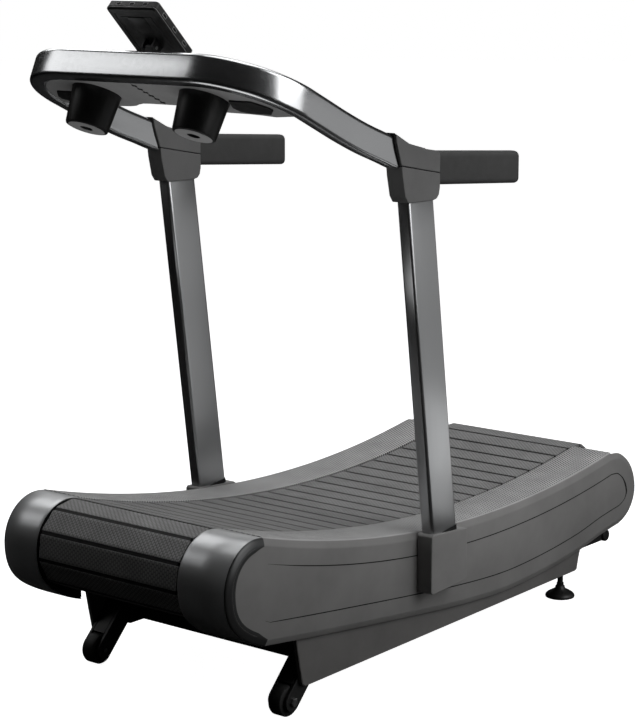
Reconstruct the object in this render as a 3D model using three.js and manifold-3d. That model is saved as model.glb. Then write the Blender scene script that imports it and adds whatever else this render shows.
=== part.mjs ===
// Curved manual treadmill. Millimetres, +Z up, X across the machine, the console end towards -Y.
// The origin is on the floor under the middle of the machine. "Left" is +X: the left hand of a
// runner who faces the console.
import * as THREE from 'three';
import Module from 'manifold-3d';
import { mergeVertices } from 'three/addons/utils/BufferGeometryUtils.js';

const wasm = await Module();
wasm.setup();

// ---------- driving dimensions ----------
const GAP = 0.3;                 // clearance between touching pieces
const DECK_RADIUS = 3350;        // running surface, seen from the side
const DECK_LOW_Y = 180;          // lowest point of the running surface
const DECK_LOW_Z = 331;
const FRONT_NOSE_Y = -776;       // drum centres
const REAR_NOSE_Y = 770;
const NOSE_RADIUS = 107;         // outside of the belt where it wraps a drum
const BELT_HALF_WIDTH = 216;
const SLAT_COUNT = 23;           // slats on the running surface
const FIRST_GAP_Y = -761;        // gaps at both ends of the running surface
const LAST_GAP_Y = 733;
const SLAT_THICKNESS = 7;
const BELT_THICKNESS = 16;
const CASING_HALF_WIDTH = 355;
const BEVEL_DEPTH = 7;           // casing bevel, across the machine
const BEVEL_WIDTH = 16;          // casing bevel, in the side view
const CAP_END_Y = -738;          // rear edge of the front caps
const NOSE_SETBACK = 17;         // the front corners are rounded back by this much
const POST_OUTER_X = 393.5;
const POST_WIDTH = 35.5;         // across the machine
const POST_DEPTH = 101;          // along the machine
const POST_LEAN = THREE.MathUtils.degToRad(7.65);
const BAR_X = 374;               // middle of handlebar and grips
const BAR_WIDTH = 38;
const BAR_HEIGHT = 69;
const LOOP_TILT = THREE.MathUtils.degToRad(24.5);   // slope of the handlebar loop
const LOOP_Y = -620;             // start of the loop's corners
const LOOP_Z = 1410.3;
const LOOP_CORNER = 180;
const CUP_X = 164;
const MONITOR_TILT = THREE.MathUtils.degToRad(45);
const WHEEL_RADIUS = 37;
const WHEEL_Y = -610;
const FOOT_X = 296;
const FOOT_Y = 580;

const DECK_CENTRE = new THREE.Vector2(DECK_LOW_Y, DECK_LOW_Z + DECK_RADIUS);

// ---------- materials ----------
const finish = (color, roughness, metalness) => new THREE.MeshStandardMaterial({ color, roughness, metalness });
const CASING = finish(0x555553, 0.5, 0.1);
const SKIRT = finish(0x3c3c3a, 0.55, 0.1);
const SILVER = finish(0x9a9b9b, 0.35, 0.8);
const STEEL = finish(0x6a6d6f, 0.35, 0.8);
const DARK_PLASTIC = finish(0x2b2b2b, 0.55, 0.0);
const RUBBER = finish(0x4a4a4a, 0.85, 0.0);
const TREAD = finish(0x6e6e6e, 0.8, 0.0);
const SLAT = finish(0x5c5c5c, 0.85, 0.0);
const BLACK_GLOSS = finish(0x0c0c0c, 0.2, 0.0);
const FRAME_PAINT = finish(0x1c1c1c, 0.5, 0.3);
const AXLE_STEEL = finish(0x8a8a8a, 0.3, 0.9);
const SCREEN = finish(0x202824, 0.15, 0.0);

const treadmill = new THREE.Group();

// ---------- helpers ----------
function add(name, geometry, material, parent = treadmill) {
  const mesh = new THREE.Mesh(geometry, material);
  mesh.name = name;
  parent.add(mesh);
  return mesh;
}

function mirrored(geometry) {
  const copy = geometry.index ? geometry.toNonIndexed() : geometry.clone();
  copy.scale(-1, 1, 1);
  const position = copy.attributes.position;
  for (let i = 0; i < position.count; i += 3) {
    const first = new THREE.Vector3().fromBufferAttribute(position, i);
    const second = new THREE.Vector3().fromBufferAttribute(position, i + 1);
    position.setXYZ(i, second.x, second.y, second.z);
    position.setXYZ(i + 1, first.x, first.y, first.z);
  }
  return copy;
}

function addPair(name, geometry, material, parent = treadmill) {
  add(`${name}_left`, geometry, material, parent);
  add(`${name}_right`, mirrored(geometry), material, parent);
}

function solidOf(geometry) {
  const bare = geometry.clone();
  for (const key of Object.keys(bare.attributes)) {
    if (key !== 'position') bare.deleteAttribute(key);
  }
  const merged = mergeVertices(bare, 1e-4);
  return new wasm.Manifold(new wasm.Mesh({
    numProp: 3,
    vertProperties: new Float32Array(merged.attributes.position.array),
    triVerts: new Uint32Array(merged.index.array),
  }));
}

function geometryOf(solid) {
  const mesh = solid.getMesh();
  const geometry = new THREE.BufferGeometry();
  geometry.setAttribute('position', new THREE.BufferAttribute(mesh.vertProperties, 3));
  geometry.setIndex(new THREE.BufferAttribute(mesh.triVerts, 1));
  return geometry;
}

const join = (...parts) => geometryOf(parts.map(solidOf).reduce((a, b) => a.add(b)));
const cut = (base, ...tools) => geometryOf(tools.map(solidOf).reduce((a, b) => a.subtract(b), solidOf(base)));

function box(x0, x1, y0, y1, z0, z1) {
  const geometry = new THREE.BoxGeometry(x1 - x0, y1 - y0, z1 - z0);
  return geometry.translate((x0 + x1) / 2, (y0 + y1) / 2, (z0 + z1) / 2);
}

// An outline in the side view (y, z), extruded across the machine from x0 to x1.
function prism(outline, x0, x1, holes = []) {
  const shape = new THREE.Shape(outline);
  shape.holes = holes.map((hole) => new THREE.Path(hole));
  const geometry = new THREE.ExtrudeGeometry(shape, { depth: x1 - x0, bevelEnabled: false });
  const sideways = new THREE.Matrix4().makeBasis(
    new THREE.Vector3(0, 1, 0), new THREE.Vector3(0, 0, 1), new THREE.Vector3(1, 0, 0));
  return geometry.applyMatrix4(sideways).translate(x0, 0, 0);
}

// A round bar across the machine.
function rod(radius, x0, x1, y, z, sides = 24) {
  const geometry = new THREE.CylinderGeometry(radius, radius, x1 - x0, sides);
  return geometry.rotateZ(Math.PI / 2).translate((x0 + x1) / 2, y, z);
}

// A closed skin through outlines in the side view that all have the same number of points.
function loft(outlines, stations) {
  const count = outlines[0].length;
  const points = [];
  outlines.forEach((outline, k) => outline.forEach((p) => points.push(stations[k], p.x, p.y)));
  const triangles = [];
  for (let k = 0; k + 1 < outlines.length; k += 1) {
    for (let i = 0; i < count; i += 1) {
      const j = (i + 1) % count;
      const a = k * count + i;
      const b = k * count + j;
      triangles.push(a, b, b + count, a, b + count, a + count);
    }
  }
  const last = (outlines.length - 1) * count;
  for (const [a, b, c] of THREE.ShapeUtils.triangulateShape(outlines[0], [])) {
    triangles.push(a, c, b);
  }
  for (const [a, b, c] of THREE.ShapeUtils.triangulateShape(outlines[outlines.length - 1], [])) {
    triangles.push(last + a, last + b, last + c);
  }
  const geometry = new THREE.BufferGeometry();
  geometry.setAttribute('position', new THREE.Float32BufferAttribute(points, 3));
  geometry.setIndex(triangles);
  return geometry;
}

function roundedRectangle(width, height, radius, steps = 3) {
  const points = [];
  const corners = [[1, 1, 0], [-1, 1, 1], [-1, -1, 2], [1, -1, 3]];
  for (const [sx, sy, quarter] of corners) {
    for (let i = 0; i <= steps; i += 1) {
      const angle = (quarter + i / steps) * Math.PI / 2;
      points.push(new THREE.Vector2(
        sx * (width / 2 - radius) + radius * Math.cos(angle),
        sy * (height / 2 - radius) + radius * Math.sin(angle)));
    }
  }
  return points;
}

// ---------- side view of the machine ----------
const deckZ = (y) => DECK_CENTRE.y - Math.sqrt(DECK_RADIUS ** 2 - (y - DECK_LOW_Y) ** 2);

// The centre of a drum whose belt wrap is tangent to the running surface.
function noseCentre(y) {
  const reach = DECK_RADIUS + NOSE_RADIUS;
  return new THREE.Vector2(y, DECK_CENTRE.y - Math.sqrt(reach ** 2 - (y - DECK_LOW_Y) ** 2));
}

const FRONT_NOSE = noseCentre(FRONT_NOSE_Y);
const REAR_NOSE = noseCentre(REAR_NOSE_Y);
const ROLL_OFF_Y = 735;          // the casings leave the running surface's curve here

// The rear nose of the side casings, from the top down.
const REAR_ROLL = [[781, 373], [815, 357], [845, 332], [866, 300], [876, 262], [870, 228], [850, 199],
  [821, 180], [792, 170]];

// The belly of the side casings, from the rear to the front.
const BELLY = [[697, 157], [572, 134], [400, 116], [215, 109], [11, 121], [-225, 146], [-547, 184],
  [-735, 208]];

// Outline of a side casing: deck, rear nose, belly, front nose. inset shrinks it on every side,
// and setback moves the front nose back.
function sideOutline(inset, setback = 0) {
  const front = noseCentre(FRONT_NOSE_Y + setback);
  const radius = NOSE_RADIUS - inset;
  const frontAngle = Math.atan2(front.y - DECK_CENTRE.y, front.x - DECK_CENTRE.x);
  const rearAngle = -Math.PI / 2 + Math.asin((ROLL_OFF_Y - DECK_LOW_Y) / DECK_RADIUS);
  const deck = new THREE.EllipseCurve(DECK_CENTRE.x, DECK_CENTRE.y, DECK_RADIUS + inset, DECK_RADIUS + inset,
    frontAngle, rearAngle, false);
  const scale = radius / NOSE_RADIUS;
  const shrunk = ([y, z]) => new THREE.Vector2(y, z).sub(REAR_NOSE).multiplyScalar(scale).add(REAR_NOSE);
  const rear = new THREE.SplineCurve([deck.getPoint(1), ...REAR_ROLL.map(shrunk)]);
  const rearEnd = rear.getPoint(1);
  const bellyPoints = BELLY.map(([y, z]) => new THREE.Vector2(y, z + inset));
  const belly = new THREE.SplineCurve([rearEnd, ...bellyPoints]);
  const tip = new THREE.Vector2(front.x - radius, front.y);
  const bellyEnd = bellyPoints[bellyPoints.length - 1];
  const chin = new THREE.CubicBezierCurve(bellyEnd, new THREE.Vector2(tip.x + 35, bellyEnd.y + 36),
    new THREE.Vector2(tip.x, tip.y - 72), tip);
  const brow = new THREE.EllipseCurve(front.x, front.y, radius, radius, Math.PI, frontAngle + Math.PI, true);
  const runs = [deck.getPoints(14), rear.getPoints(10), belly.getPoints(12), chin.getPoints(5), brow.getPoints(5)];
  const outline = [];
  for (const run of runs) outline.push(...run.slice(0, -1));
  return outline.reverse();
}

// ---------- base frame ----------
const RAIL_X0 = 272;
const RAIL_X1 = 308;
const RAIL_Z0 = 84;
const RAIL_TOP = 139.7;
const RAIL_FRONT = -520;
const RAIL_REAR = 600;
const TUBE_WALL = 4;

function boxTubeAlongY(x0, x1, y0, y1, z0, z1, wall) {
  const outer = box(x0, x1, y0, y1, z0, z1);
  return cut(outer, box(x0 + wall, x1 - wall, y0 - 1, y1 + 1, z0 + wall, z1 - wall));
}

function boxTubeAlongX(halfLength, y0, y1, z0, z1, wall) {
  const outer = box(-halfLength, halfLength, y0, y1, z0, z1);
  return cut(outer, box(-halfLength - 1, halfLength + 1, y0 + wall, y1 - wall, z0 + wall, z1 - wall));
}

function baseFrame() {
  const footHole = new THREE.CylinderGeometry(8.6, 8.6, 20, 16).rotateX(Math.PI / 2)
    .translate(FOOT_X, FOOT_Y, RAIL_Z0 + 2);
  const rail = cut(boxTubeAlongY(RAIL_X0, RAIL_X1, RAIL_FRONT, RAIL_REAR, RAIL_Z0, RAIL_TOP, TUBE_WALL), footHole);
  addPair('base_rail', rail, FRAME_PAINT);
  const crossLength = RAIL_X0 - GAP;
  add('base_cross_front', boxTubeAlongX(crossLength, -480, -430, 88, 136, TUBE_WALL), FRAME_PAINT);
  add('base_cross_rear', boxTubeAlongX(crossLength, 530, 580, 88, 136, TUBE_WALL), FRAME_PAINT);
}

// Plates that stand on the rails and hold both axles, with an axle hole at each nose.
const FRAME_X0 = 280;
const FRAME_X1 = 288;
const AXLE_RADIUS = 12;

function sideFrames() {
  const plate = prism(sideOutline(20, NOSE_SETBACK), FRAME_X0, FRAME_X1);
  const below = box(200, 400, RAIL_FRONT - 30, RAIL_REAR + 30, 0, RAIL_TOP + GAP);
  const frontHole = rod(AXLE_RADIUS + GAP, 260, 300, FRONT_NOSE.x, FRONT_NOSE.y);
  const rearHole = rod(AXLE_RADIUS + GAP, 260, 300, REAR_NOSE.x, REAR_NOSE.y);
  addPair('side_frame', cut(plate, below, frontHole, rearHole), FRAME_PAINT);
  for (const [name, y] of [['front', -480], ['mid', 90], ['rear', 560]]) {
    const top = deckZ(y) - 68;
    add(`deck_cross_${name}`, boxTubeAlongX(FRAME_X0 - GAP, y - 22, y + 22, top - 44, top, TUBE_WALL), FRAME_PAINT);
  }
}

// A band that follows the running surface between two insets.
function deckBand(x0, x1, insetTop, insetBottom, y0, y1, steps) {
  const outline = [];
  const at = (inset, y) => {
    const radius = DECK_RADIUS + inset;
    return new THREE.Vector2(y, DECK_CENTRE.y - Math.sqrt(radius ** 2 - (y - DECK_LOW_Y) ** 2));
  };
  for (let i = 0; i <= steps; i += 1) outline.push(at(insetTop, y0 + (y1 - y0) * i / steps));
  for (let i = steps; i >= 0; i -= 1) outline.push(at(insetBottom, y0 + (y1 - y0) * i / steps));
  return prism(outline, x0, x1);
}

// Curved rails with small guide bearings that carry the ends of the slats.
function bearingRails() {
  const railEnd = 620;
  const bearings = 12;
  const bearingRadius = 9;
  let rail = solidOf(deckBand(196, 204, 22, 60, -railEnd, railEnd, 14));
  for (let i = 0; i < bearings; i += 1) {
    const y = -railEnd + 40 + (2 * railEnd - 80) * i / (bearings - 1);
    const z = deckZ(y) - BELT_THICKNESS - 2 - bearingRadius;
    rail = rail.add(solidOf(rod(bearingRadius, 203, 212, y, z, 8)));
  }
  addPair('bearing_rail', geometryOf(rail), AXLE_STEEL);
}

// ---------- side casings, treads, caps and skirts ----------
const TREAD_INNER_X = 224;
const TREAD_OUTER_X = 344.7;
const TREAD_PROUD = 2;
const TREAD_BOTTOM = 4.7;
const RIM_TOP = 5;
const RIM_BOTTOM = 11;
const PLATE_X = 345;
const TREAD_END_Y = 746;

function casings() {
  const bevelFoot = CASING_HALF_WIDTH - BEVEL_DEPTH;
  const plain = sideOutline(0, NOSE_SETBACK);
  const face = sideOutline(BEVEL_WIDTH, NOSE_SETBACK);
  const plate = loft([plain, plain, face], [PLATE_X, bevelFoot, CASING_HALF_WIDTH]);
  const rim = cut(prism(sideOutline(RIM_TOP), 226, PLATE_X + 1), prism(sideOutline(RIM_BOTTOM), 220, PLATE_X + 2),
    box(200, 400, -1000, CAP_END_Y + GAP, 0, 600),
    box(200, 318, CAP_END_Y - 1, 640, 0, 240));
  addPair('casing', join(plate, rim), CASING);
}

function treads() {
  const band = cut(prism(sideOutline(-TREAD_PROUD), TREAD_INNER_X, TREAD_OUTER_X),
    prism(sideOutline(TREAD_BOTTOM), TREAD_INNER_X - 1, TREAD_OUTER_X + 1),
    box(200, 400, -1000, CAP_END_Y + GAP, 0, 600),
    box(200, 400, TREAD_END_Y, 1000, 0, 600),
    box(200, 400, -1000, 1000, 0, 300));
  addPair('tread', band, TREAD);
}

const CAP_FLAT_X = 280;          // the caps start to curve back here

function frontCaps() {
  const stations = [222, CAP_FLAT_X, 300, 318, 331, 339, TREAD_OUTER_X];
  const setbackAt = (x) => NOSE_SETBACK * Math.max(0, (x - CAP_FLAT_X) / (TREAD_OUTER_X - CAP_FLAT_X)) ** 2;
  const outer = loft(stations.map((x) => sideOutline(-1, setbackAt(x))), stations);
  const hollow = loft([226, 290, 328, 350].map((x) => sideOutline(4, setbackAt(Math.min(x, TREAD_OUTER_X)))),
    [226, 290, 328, 350]);
  const cap = cut(outer, hollow, box(200, 400, CAP_END_Y, 1000, 0, 600),
    rod(20, 200, 240, FRONT_NOSE.x, FRONT_NOSE.y));
  addPair('front_cap', cap, SILVER);
}

const SKIRT_X0 = 329;
const SKIRT_X1 = 340;

// The lower covers: shallow pans that hide the rails, open towards the middle and at the top.
function skirts() {
  const outlineOf = (inset) => [[-636 + inset, 240], [-612 + inset, 188], [-588 + inset, 69 + inset],
    [594 - inset, 79 + inset], [602 - inset, 112], [614 - inset, 142], [633 - inset, 200]]
    .map(([y, z]) => new THREE.Vector2(y, z));
  const wall = 4;
  const pan = cut(prism(outlineOf(0), SKIRT_X0, SKIRT_X1), prism(outlineOf(wall), SKIRT_X0 - 1, SKIRT_X1 - wall),
    prism(sideOutline(RIM_TOP - GAP), SKIRT_X0 - 2, SKIRT_X1 + 2));
  addPair('skirt', pan, SKIRT);
}

// ---------- belt, drums and axles ----------
const GROOVE = 4;                // gap between slats on the flat runs
const WRAP_GROOVE = 10;          // the gaps open where the belt wraps a drum

// A run of flat slats on a carrier, around a centre. Radii and angles are in the side view, and
// outward is +1 where the slats are further from the centre than the carrier, or -1.
function slatRun(centre, slatRadius, outward, startAngle, endAngle, slats, groove) {
  const carrierTop = slatRadius - outward * SLAT_THICKNESS;
  const carrierBottom = slatRadius - outward * BELT_THICKNESS;
  const at = (radius, angle) => new THREE.Vector2(
    centre.x + radius * Math.cos(angle), centre.y + radius * Math.sin(angle));
  const pitch = (endAngle - startAngle) / slats;
  const half = Math.sign(pitch) * groove / 2 / slatRadius;
  const outline = [];
  const under = [];
  for (let i = 0; i < slats; i += 1) {
    const from = startAngle + pitch * i + half;
    const to = startAngle + pitch * (i + 1) - half;
    if (i > 0) outline.push(at(carrierTop, from));
    outline.push(at(slatRadius, from), at(slatRadius, to));
    if (i + 1 < slats) outline.push(at(carrierTop, to));
    under.push(at(carrierBottom, i === 0 ? from : startAngle + pitch * i));
  }
  under.push(at(carrierBottom, endAngle - half));
  return prism([...outline, ...under.reverse()], -BELT_HALF_WIDTH, BELT_HALF_WIDTH);
}

const RETURN_SAG = 60;           // the lower run hangs this far below the straight line
const FRONT_WRAP_START = Math.atan2(deckZ(FIRST_GAP_Y) - FRONT_NOSE.y, FIRST_GAP_Y - FRONT_NOSE.x);
const FRONT_WRAP_END = FRONT_WRAP_START + Math.PI;
const REAR_WRAP_START = Math.atan2(deckZ(LAST_GAP_Y) - REAR_NOSE.y, LAST_GAP_Y - REAR_NOSE.x);
const REAR_WRAP_END = REAR_WRAP_START - Math.PI;
const WRAP_SLATS = 5;

function belt() {
  const deckAngle = (y) => -Math.PI / 2 + Math.asin((y - DECK_LOW_Y) / DECK_RADIUS);
  add('belt_top_run', slatRun(DECK_CENTRE, DECK_RADIUS, -1, deckAngle(FIRST_GAP_Y), deckAngle(LAST_GAP_Y),
    SLAT_COUNT, GROOVE), SLAT);
  add('belt_front_wrap', slatRun(FRONT_NOSE, NOSE_RADIUS - 1, 1, FRONT_WRAP_START, FRONT_WRAP_END,
    WRAP_SLATS, WRAP_GROOVE), SLAT);
  add('belt_rear_wrap', slatRun(REAR_NOSE, NOSE_RADIUS - 1, 1, REAR_WRAP_START, REAR_WRAP_END,
    WRAP_SLATS, WRAP_GROOVE), SLAT);
  const front = new THREE.Vector2(FRONT_NOSE.x + NOSE_RADIUS * Math.cos(FRONT_WRAP_END),
    FRONT_NOSE.y + NOSE_RADIUS * Math.sin(FRONT_WRAP_END));
  const rear = new THREE.Vector2(REAR_NOSE.x + NOSE_RADIUS * Math.cos(REAR_WRAP_END),
    REAR_NOSE.y + NOSE_RADIUS * Math.sin(REAR_WRAP_END));
  const chord = front.distanceTo(rear);
  const radius = chord ** 2 / (8 * RETURN_SAG) + RETURN_SAG / 2;
  const middle = front.clone().add(rear).multiplyScalar(0.5);
  const upward = new THREE.Vector2(front.y - rear.y, rear.x - front.x).normalize();
  const centre = middle.clone().addScaledVector(upward, radius - RETURN_SAG);
  const angleOf = (p) => Math.atan2(p.y - centre.y, p.x - centre.x);
  const inner = slatRun(centre, radius, 1, angleOf(front), angleOf(rear), SLAT_COUNT, GROOVE);
  add('belt_return_run', inner, SLAT);
}

// A drum is a pair of rimmed pulleys on one hub, so that it turns freely on its axle.
function drums() {
  const rim = NOSE_RADIUS - 1 - BELT_THICKNESS - 5;
  const hub = 24;
  const bore = AXLE_RADIUS + GAP;
  const outer = 205;
  const rimInner = 160;
  const wall = 6;
  const half = [[bore, outer], [rim, outer], [rim, rimInner], [rim - wall, rimInner], [rim - wall, outer - wall],
    [hub, outer - wall]];
  const profile = [...half, ...half.slice().reverse().map(([r, x]) => [r, -x])];
  profile.push(profile[0]);
  const drum = new THREE.LatheGeometry(profile.map(([r, x]) => new THREE.Vector2(r, x)).reverse(), 20);
  drum.rotateZ(Math.PI / 2);
  for (const [name, nose] of [['front', FRONT_NOSE], ['rear', REAR_NOSE]]) {
    add(`${name}_drum`, drum, AXLE_STEEL).position.set(0, nose.x, nose.y);
    add(`${name}_axle`, rod(AXLE_RADIUS, -300, 300, nose.x, nose.y, 20), AXLE_STEEL);
  }
}

// ---------- posts, boots and brackets ----------
const POST_FOOT_Y = -105;        // middle of the post at the top of its boot
const POST_FOOT_Z = 346;
const POST_X = POST_OUTER_X - POST_WIDTH / 2;

// A leaning bar of the post's section, from one height along its axis to another.
function postBar(grow, from, to, wall = 0) {
  const shape = new THREE.Shape(roundedRectangle(POST_WIDTH + 2 * grow, POST_DEPTH + 2 * grow, 7 + grow, 2));
  if (wall) shape.holes = [new THREE.Path(roundedRectangle(POST_WIDTH - 2 * wall, POST_DEPTH - 2 * wall, 4, 1))];
  const geometry = new THREE.ExtrudeGeometry(shape, { depth: to - from, bevelEnabled: false });
  return geometry.translate(0, 0, from).rotateX(POST_LEAN).translate(POST_X, POST_FOOT_Y, POST_FOOT_Z);
}

const POST_BOTTOM = -134;
const POST_TOP = 872;

function posts() {
  addPair('post', postBar(0, POST_BOTTOM, POST_TOP, 3), STEEL);
  const boot = [[-168, 204], [-161, 200], [-24, 206], [-18, 212], [-18, 338], [-60, 343], [-163, 350], [-168, 345]];
  const shell = prism(boot.map(([y, z]) => new THREE.Vector2(y, z)), CASING_HALF_WIDTH + GAP, 400);
  addPair('post_boot', cut(shell, postBar(GAP, POST_BOTTOM - GAP, 100)), CASING);
}

// ---------- handlebar and grips ----------
const BRACKET_X0 = 351;
const BRACKET_X1 = 399;

// Middle line of the handlebar from the left bracket to the right one.
function handlebarPath() {
  const side = [[-212, 1255.5], [-262, 1267.5], [-305, 1281.5], [-350, 1298], [-422, 1323.5], [-496, 1354], [-560, 1383]]
    .map(([y, z]) => new THREE.Vector3(BAR_X, y, z));
  const corner = [];
  const steps = 6;
  for (let i = 0; i <= steps; i += 1) {
    const turn = Math.PI / 2 * i / steps;
    const along = LOOP_CORNER * Math.sin(turn);
    corner.push(new THREE.Vector3(BAR_X - LOOP_CORNER * (1 - Math.cos(turn)),
      LOOP_Y - along * Math.cos(LOOP_TILT), LOOP_Z + along * Math.sin(LOOP_TILT)));
  }
  const half = [...side, ...corner];
  const middle = half[half.length - 1].clone().setX(0);
  const other = half.slice().reverse().map((p) => new THREE.Vector3(-p.x, p.y, p.z));
  return new THREE.CatmullRomCurve3([...half, middle, ...other], false, 'centripetal');
}

function barSection(grow) {
  return roundedRectangle(BAR_WIDTH + 2 * grow, BAR_HEIGHT + 2 * grow, 12 + grow, 2);
}

function handlebarBody(grow, hollow) {
  const shape = new THREE.Shape(barSection(grow));
  if (hollow) shape.holes = [new THREE.Path(roundedRectangle(BAR_WIDTH - 6, BAR_HEIGHT - 6, 8, 1))];
  return new THREE.ExtrudeGeometry(shape, { steps: 34, extrudePath: handlebarPath(), bevelEnabled: false });
}

function handlebarAndBrackets() {
  add('handlebar', handlebarBody(0, true), STEEL);
  const barRoom = handlebarBody(GAP, false);
  const postRoom = postBar(GAP, 600, POST_TOP + GAP);
  const lower = [[-275, 1165], [-166, 1164], [-152, 1172], [-148, 1188], [-148, 1224.7], [-221, 1238],
    [-300, 1252.6], [-295, 1225], [-283, 1176]];
  const upper = [[-148, 1225.3], [-148, 1270], [-154, 1279], [-209, 1287], [-262, 1299], [-304, 1322],
    [-320, 1327], [-317, 1300], [-308, 1275], [-300.2, 1253.2], [-221, 1238.6]];
  const body = (outline) => prism(outline.map(([y, z]) => new THREE.Vector2(y, z)), BRACKET_X0, BRACKET_X1);
  addPair('post_bracket', cut(body(lower), postRoom, barRoom), DARK_PLASTIC);
  addPair('bar_sleeve', cut(body(upper), barRoom, postRoom), DARK_PLASTIC);
  const gripSection = new THREE.Shape(roundedRectangle(BAR_WIDTH, 80, 14, 3));
  const grip = new THREE.ExtrudeGeometry(gripSection, {
    depth: 333, bevelEnabled: true, bevelThickness: 9, bevelSize: 9, bevelOffset: -9, bevelSegments: 2 });
  grip.rotateX(-Math.PI / 2 - THREE.MathUtils.degToRad(4.1)).translate(BAR_X, -147.7, 1236.5);
  const clear = box(300, 420, -260, -148 + GAP, 1100, 1400);
  addPair('grip', cut(grip, clear), RUBBER);
}

// ---------- console ----------
const consoleFrame = new THREE.Group();
consoleFrame.position.set(0, LOOP_Y, LOOP_Z);
consoleFrame.rotation.x = -LOOP_TILT;
const TRAY_BOTTOM = -28;
const TRAY_TOP = -20;
const CUP_Y = -87;
const CUP_HOLE = 58.2;

// In the console frame -Y runs up the slope towards the front bar.
function consoleTray() {
  const reach = LOOP_CORNER - BAR_WIDTH / 2 - 3.5;
  const cornerX = BAR_X - LOOP_CORNER;
  const shape = new THREE.Shape();
  shape.moveTo(-cornerX, -reach);
  shape.lineTo(cornerX, -reach);
  shape.absarc(cornerX, 0, reach, -Math.PI / 2, 0, false);
  shape.lineTo(cornerX + reach, 4);
  shape.lineTo(292, 16);
  shape.quadraticCurveTo(225, 6, 170, 5);
  shape.quadraticCurveTo(120, 4, 95, -14);
  shape.quadraticCurveTo(80, -24, 50, -24);
  shape.lineTo(-50, -24);
  shape.quadraticCurveTo(-80, -24, -95, -14);
  shape.quadraticCurveTo(-120, 4, -170, 5);
  shape.quadraticCurveTo(-225, 6, -292, 16);
  shape.lineTo(-cornerX - reach, 4);
  shape.absarc(-cornerX, 0, reach, Math.PI, Math.PI * 1.5, false);
  for (const side of [-1, 1]) {
    const hole = new THREE.Path();
    hole.absarc(side * CUP_X, CUP_Y, CUP_HOLE, 0, Math.PI * 2, true);
    shape.holes.push(hole);
  }
  const tray = new THREE.ExtrudeGeometry(shape, {
    depth: TRAY_TOP - TRAY_BOTTOM, bevelEnabled: false, curveSegments: 10 });
  add('console_tray', tray.translate(0, 0, TRAY_BOTTOM), DARK_PLASTIC, consoleFrame);
}

function cupHolders() {
  const rest = TRAY_TOP + GAP;
  const profile = [[14, -118], [48, -118], [50, -116], [CUP_HOLE - 0.7, rest], [66, rest], [66, rest + 4],
    [CUP_HOLE - 4, rest + 4], [46.5, -113], [14, -113], [14, -118]];
  const cup = new THREE.LatheGeometry(profile.map(([r, z]) => new THREE.Vector2(r, z)), 20).rotateX(Math.PI / 2);
  for (const [side, x] of [['left', CUP_X], ['right', -CUP_X]]) {
    add(`cup_holder_${side}`, cup, BLACK_GLOSS, consoleFrame).position.set(x, CUP_Y, 0);
  }
}

const MONITOR_CENTRE = new THREE.Vector3(0, -708, 1564.5);
const monitorFrame = new THREE.Group();
monitorFrame.position.copy(MONITOR_CENTRE);
monitorFrame.rotation.x = -MONITOR_TILT;
const MONITOR_HALF_WIDTH = 74;
const MONITOR_HALF_LENGTH = 80;
const PIVOT_Y = 30;              // tilt pivot, in the monitor's own frame
const PIVOT_Z = -27;
const PIN_RADIUS = 4;
const BUTTON_Y = 57;
const BUTTON_RADIUS = 6.5;

function monitor() {
  const w = MONITOR_HALF_WIDTH;
  const l = MONITOR_HALF_LENGTH;
  const split = -7;
  const front = 11;
  const buttonHoles = [-32, 0, 32].map((x) => new THREE.CylinderGeometry(7, 7, 12, 20)
    .rotateX(Math.PI / 2).translate(x, BUTTON_Y, 9));
  const bezel = cut(box(-w, w, -l, l, split, front), box(-w + 4, w - 4, -l + 4, l - 4, split - 1, 8),
    box(-58, 58, -63, 38, 0, 20), ...buttonHoles);
  add('monitor_bezel', bezel, SILVER, monitorFrame);
  add('monitor_screen', box(-61, 61, -66, 41, 4.5, 7.7), SCREEN, monitorFrame);
  const backPlate = box(-w, w, -l, l, -13, split - GAP);
  const lug = (x0, x1) => prism([[16, -12], [16, PIVOT_Z - 4], [22, -37], [38, -37], [44, PIVOT_Z - 4], [44, -12]]
    .map(([y, z]) => new THREE.Vector2(y, z)), x0, x1);
  const hatch = box(-26, 26, -52, 2, -14, -9.5);
  const back = cut(join(backPlate, lug(12, 18), lug(-18, -12)), rod(PIN_RADIUS + GAP, -20, 20, PIVOT_Y, PIVOT_Z, 16),
    hatch);
  add('monitor_back', back, BLACK_GLOSS, monitorFrame);
  add('battery_cover', box(-25.7, 25.7, -51.7, 1.7, -12.6, -9.8), BLACK_GLOSS, monitorFrame);
  for (const [name, x] of [['start', -32], ['select', 0], ['stop', 32]]) {
    const button = new THREE.CylinderGeometry(BUTTON_RADIUS, BUTTON_RADIUS, 8.5, 20).rotateX(Math.PI / 2);
    add(`button_${name}`, button, DARK_PLASTIC, monitorFrame).position.set(x, BUTTON_Y, 8.75);
  }
}

// The stand of the monitor, with the pin that the monitor tilts on.
function monitorStand() {
  const c = Math.cos(MONITOR_TILT);
  const s = Math.sin(MONITOR_TILT);
  const y = MONITOR_CENTRE.y + PIVOT_Y * c + PIVOT_Z * s;
  const z = MONITOR_CENTRE.z - PIVOT_Y * s + PIVOT_Z * c;
  const foot = box(-32, 32, -122, -58, TRAY_TOP + GAP, TRAY_TOP + 6);
  foot.rotateX(-LOOP_TILT).translate(0, LOOP_Y, LOOP_Z);
  const neck = box(-11.5, 11.5, y - 9, y + 9, 1434, z);
  add('monitor_stand', join(foot, neck, rod(9, -11.5, 11.5, y, z, 20), rod(PIN_RADIUS, -19, 19, y, z, 16)),
    DARK_PLASTIC);
}

// ---------- wheels, feet and lift handle ----------
const ARM_X0 = 272;              // both sides of a wheel arm
const ARM_X1 = 328.4;
const WHEEL_X0 = 282;
const WHEEL_X1 = 318.4;
const ARM_END_RADIUS = 24;

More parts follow.
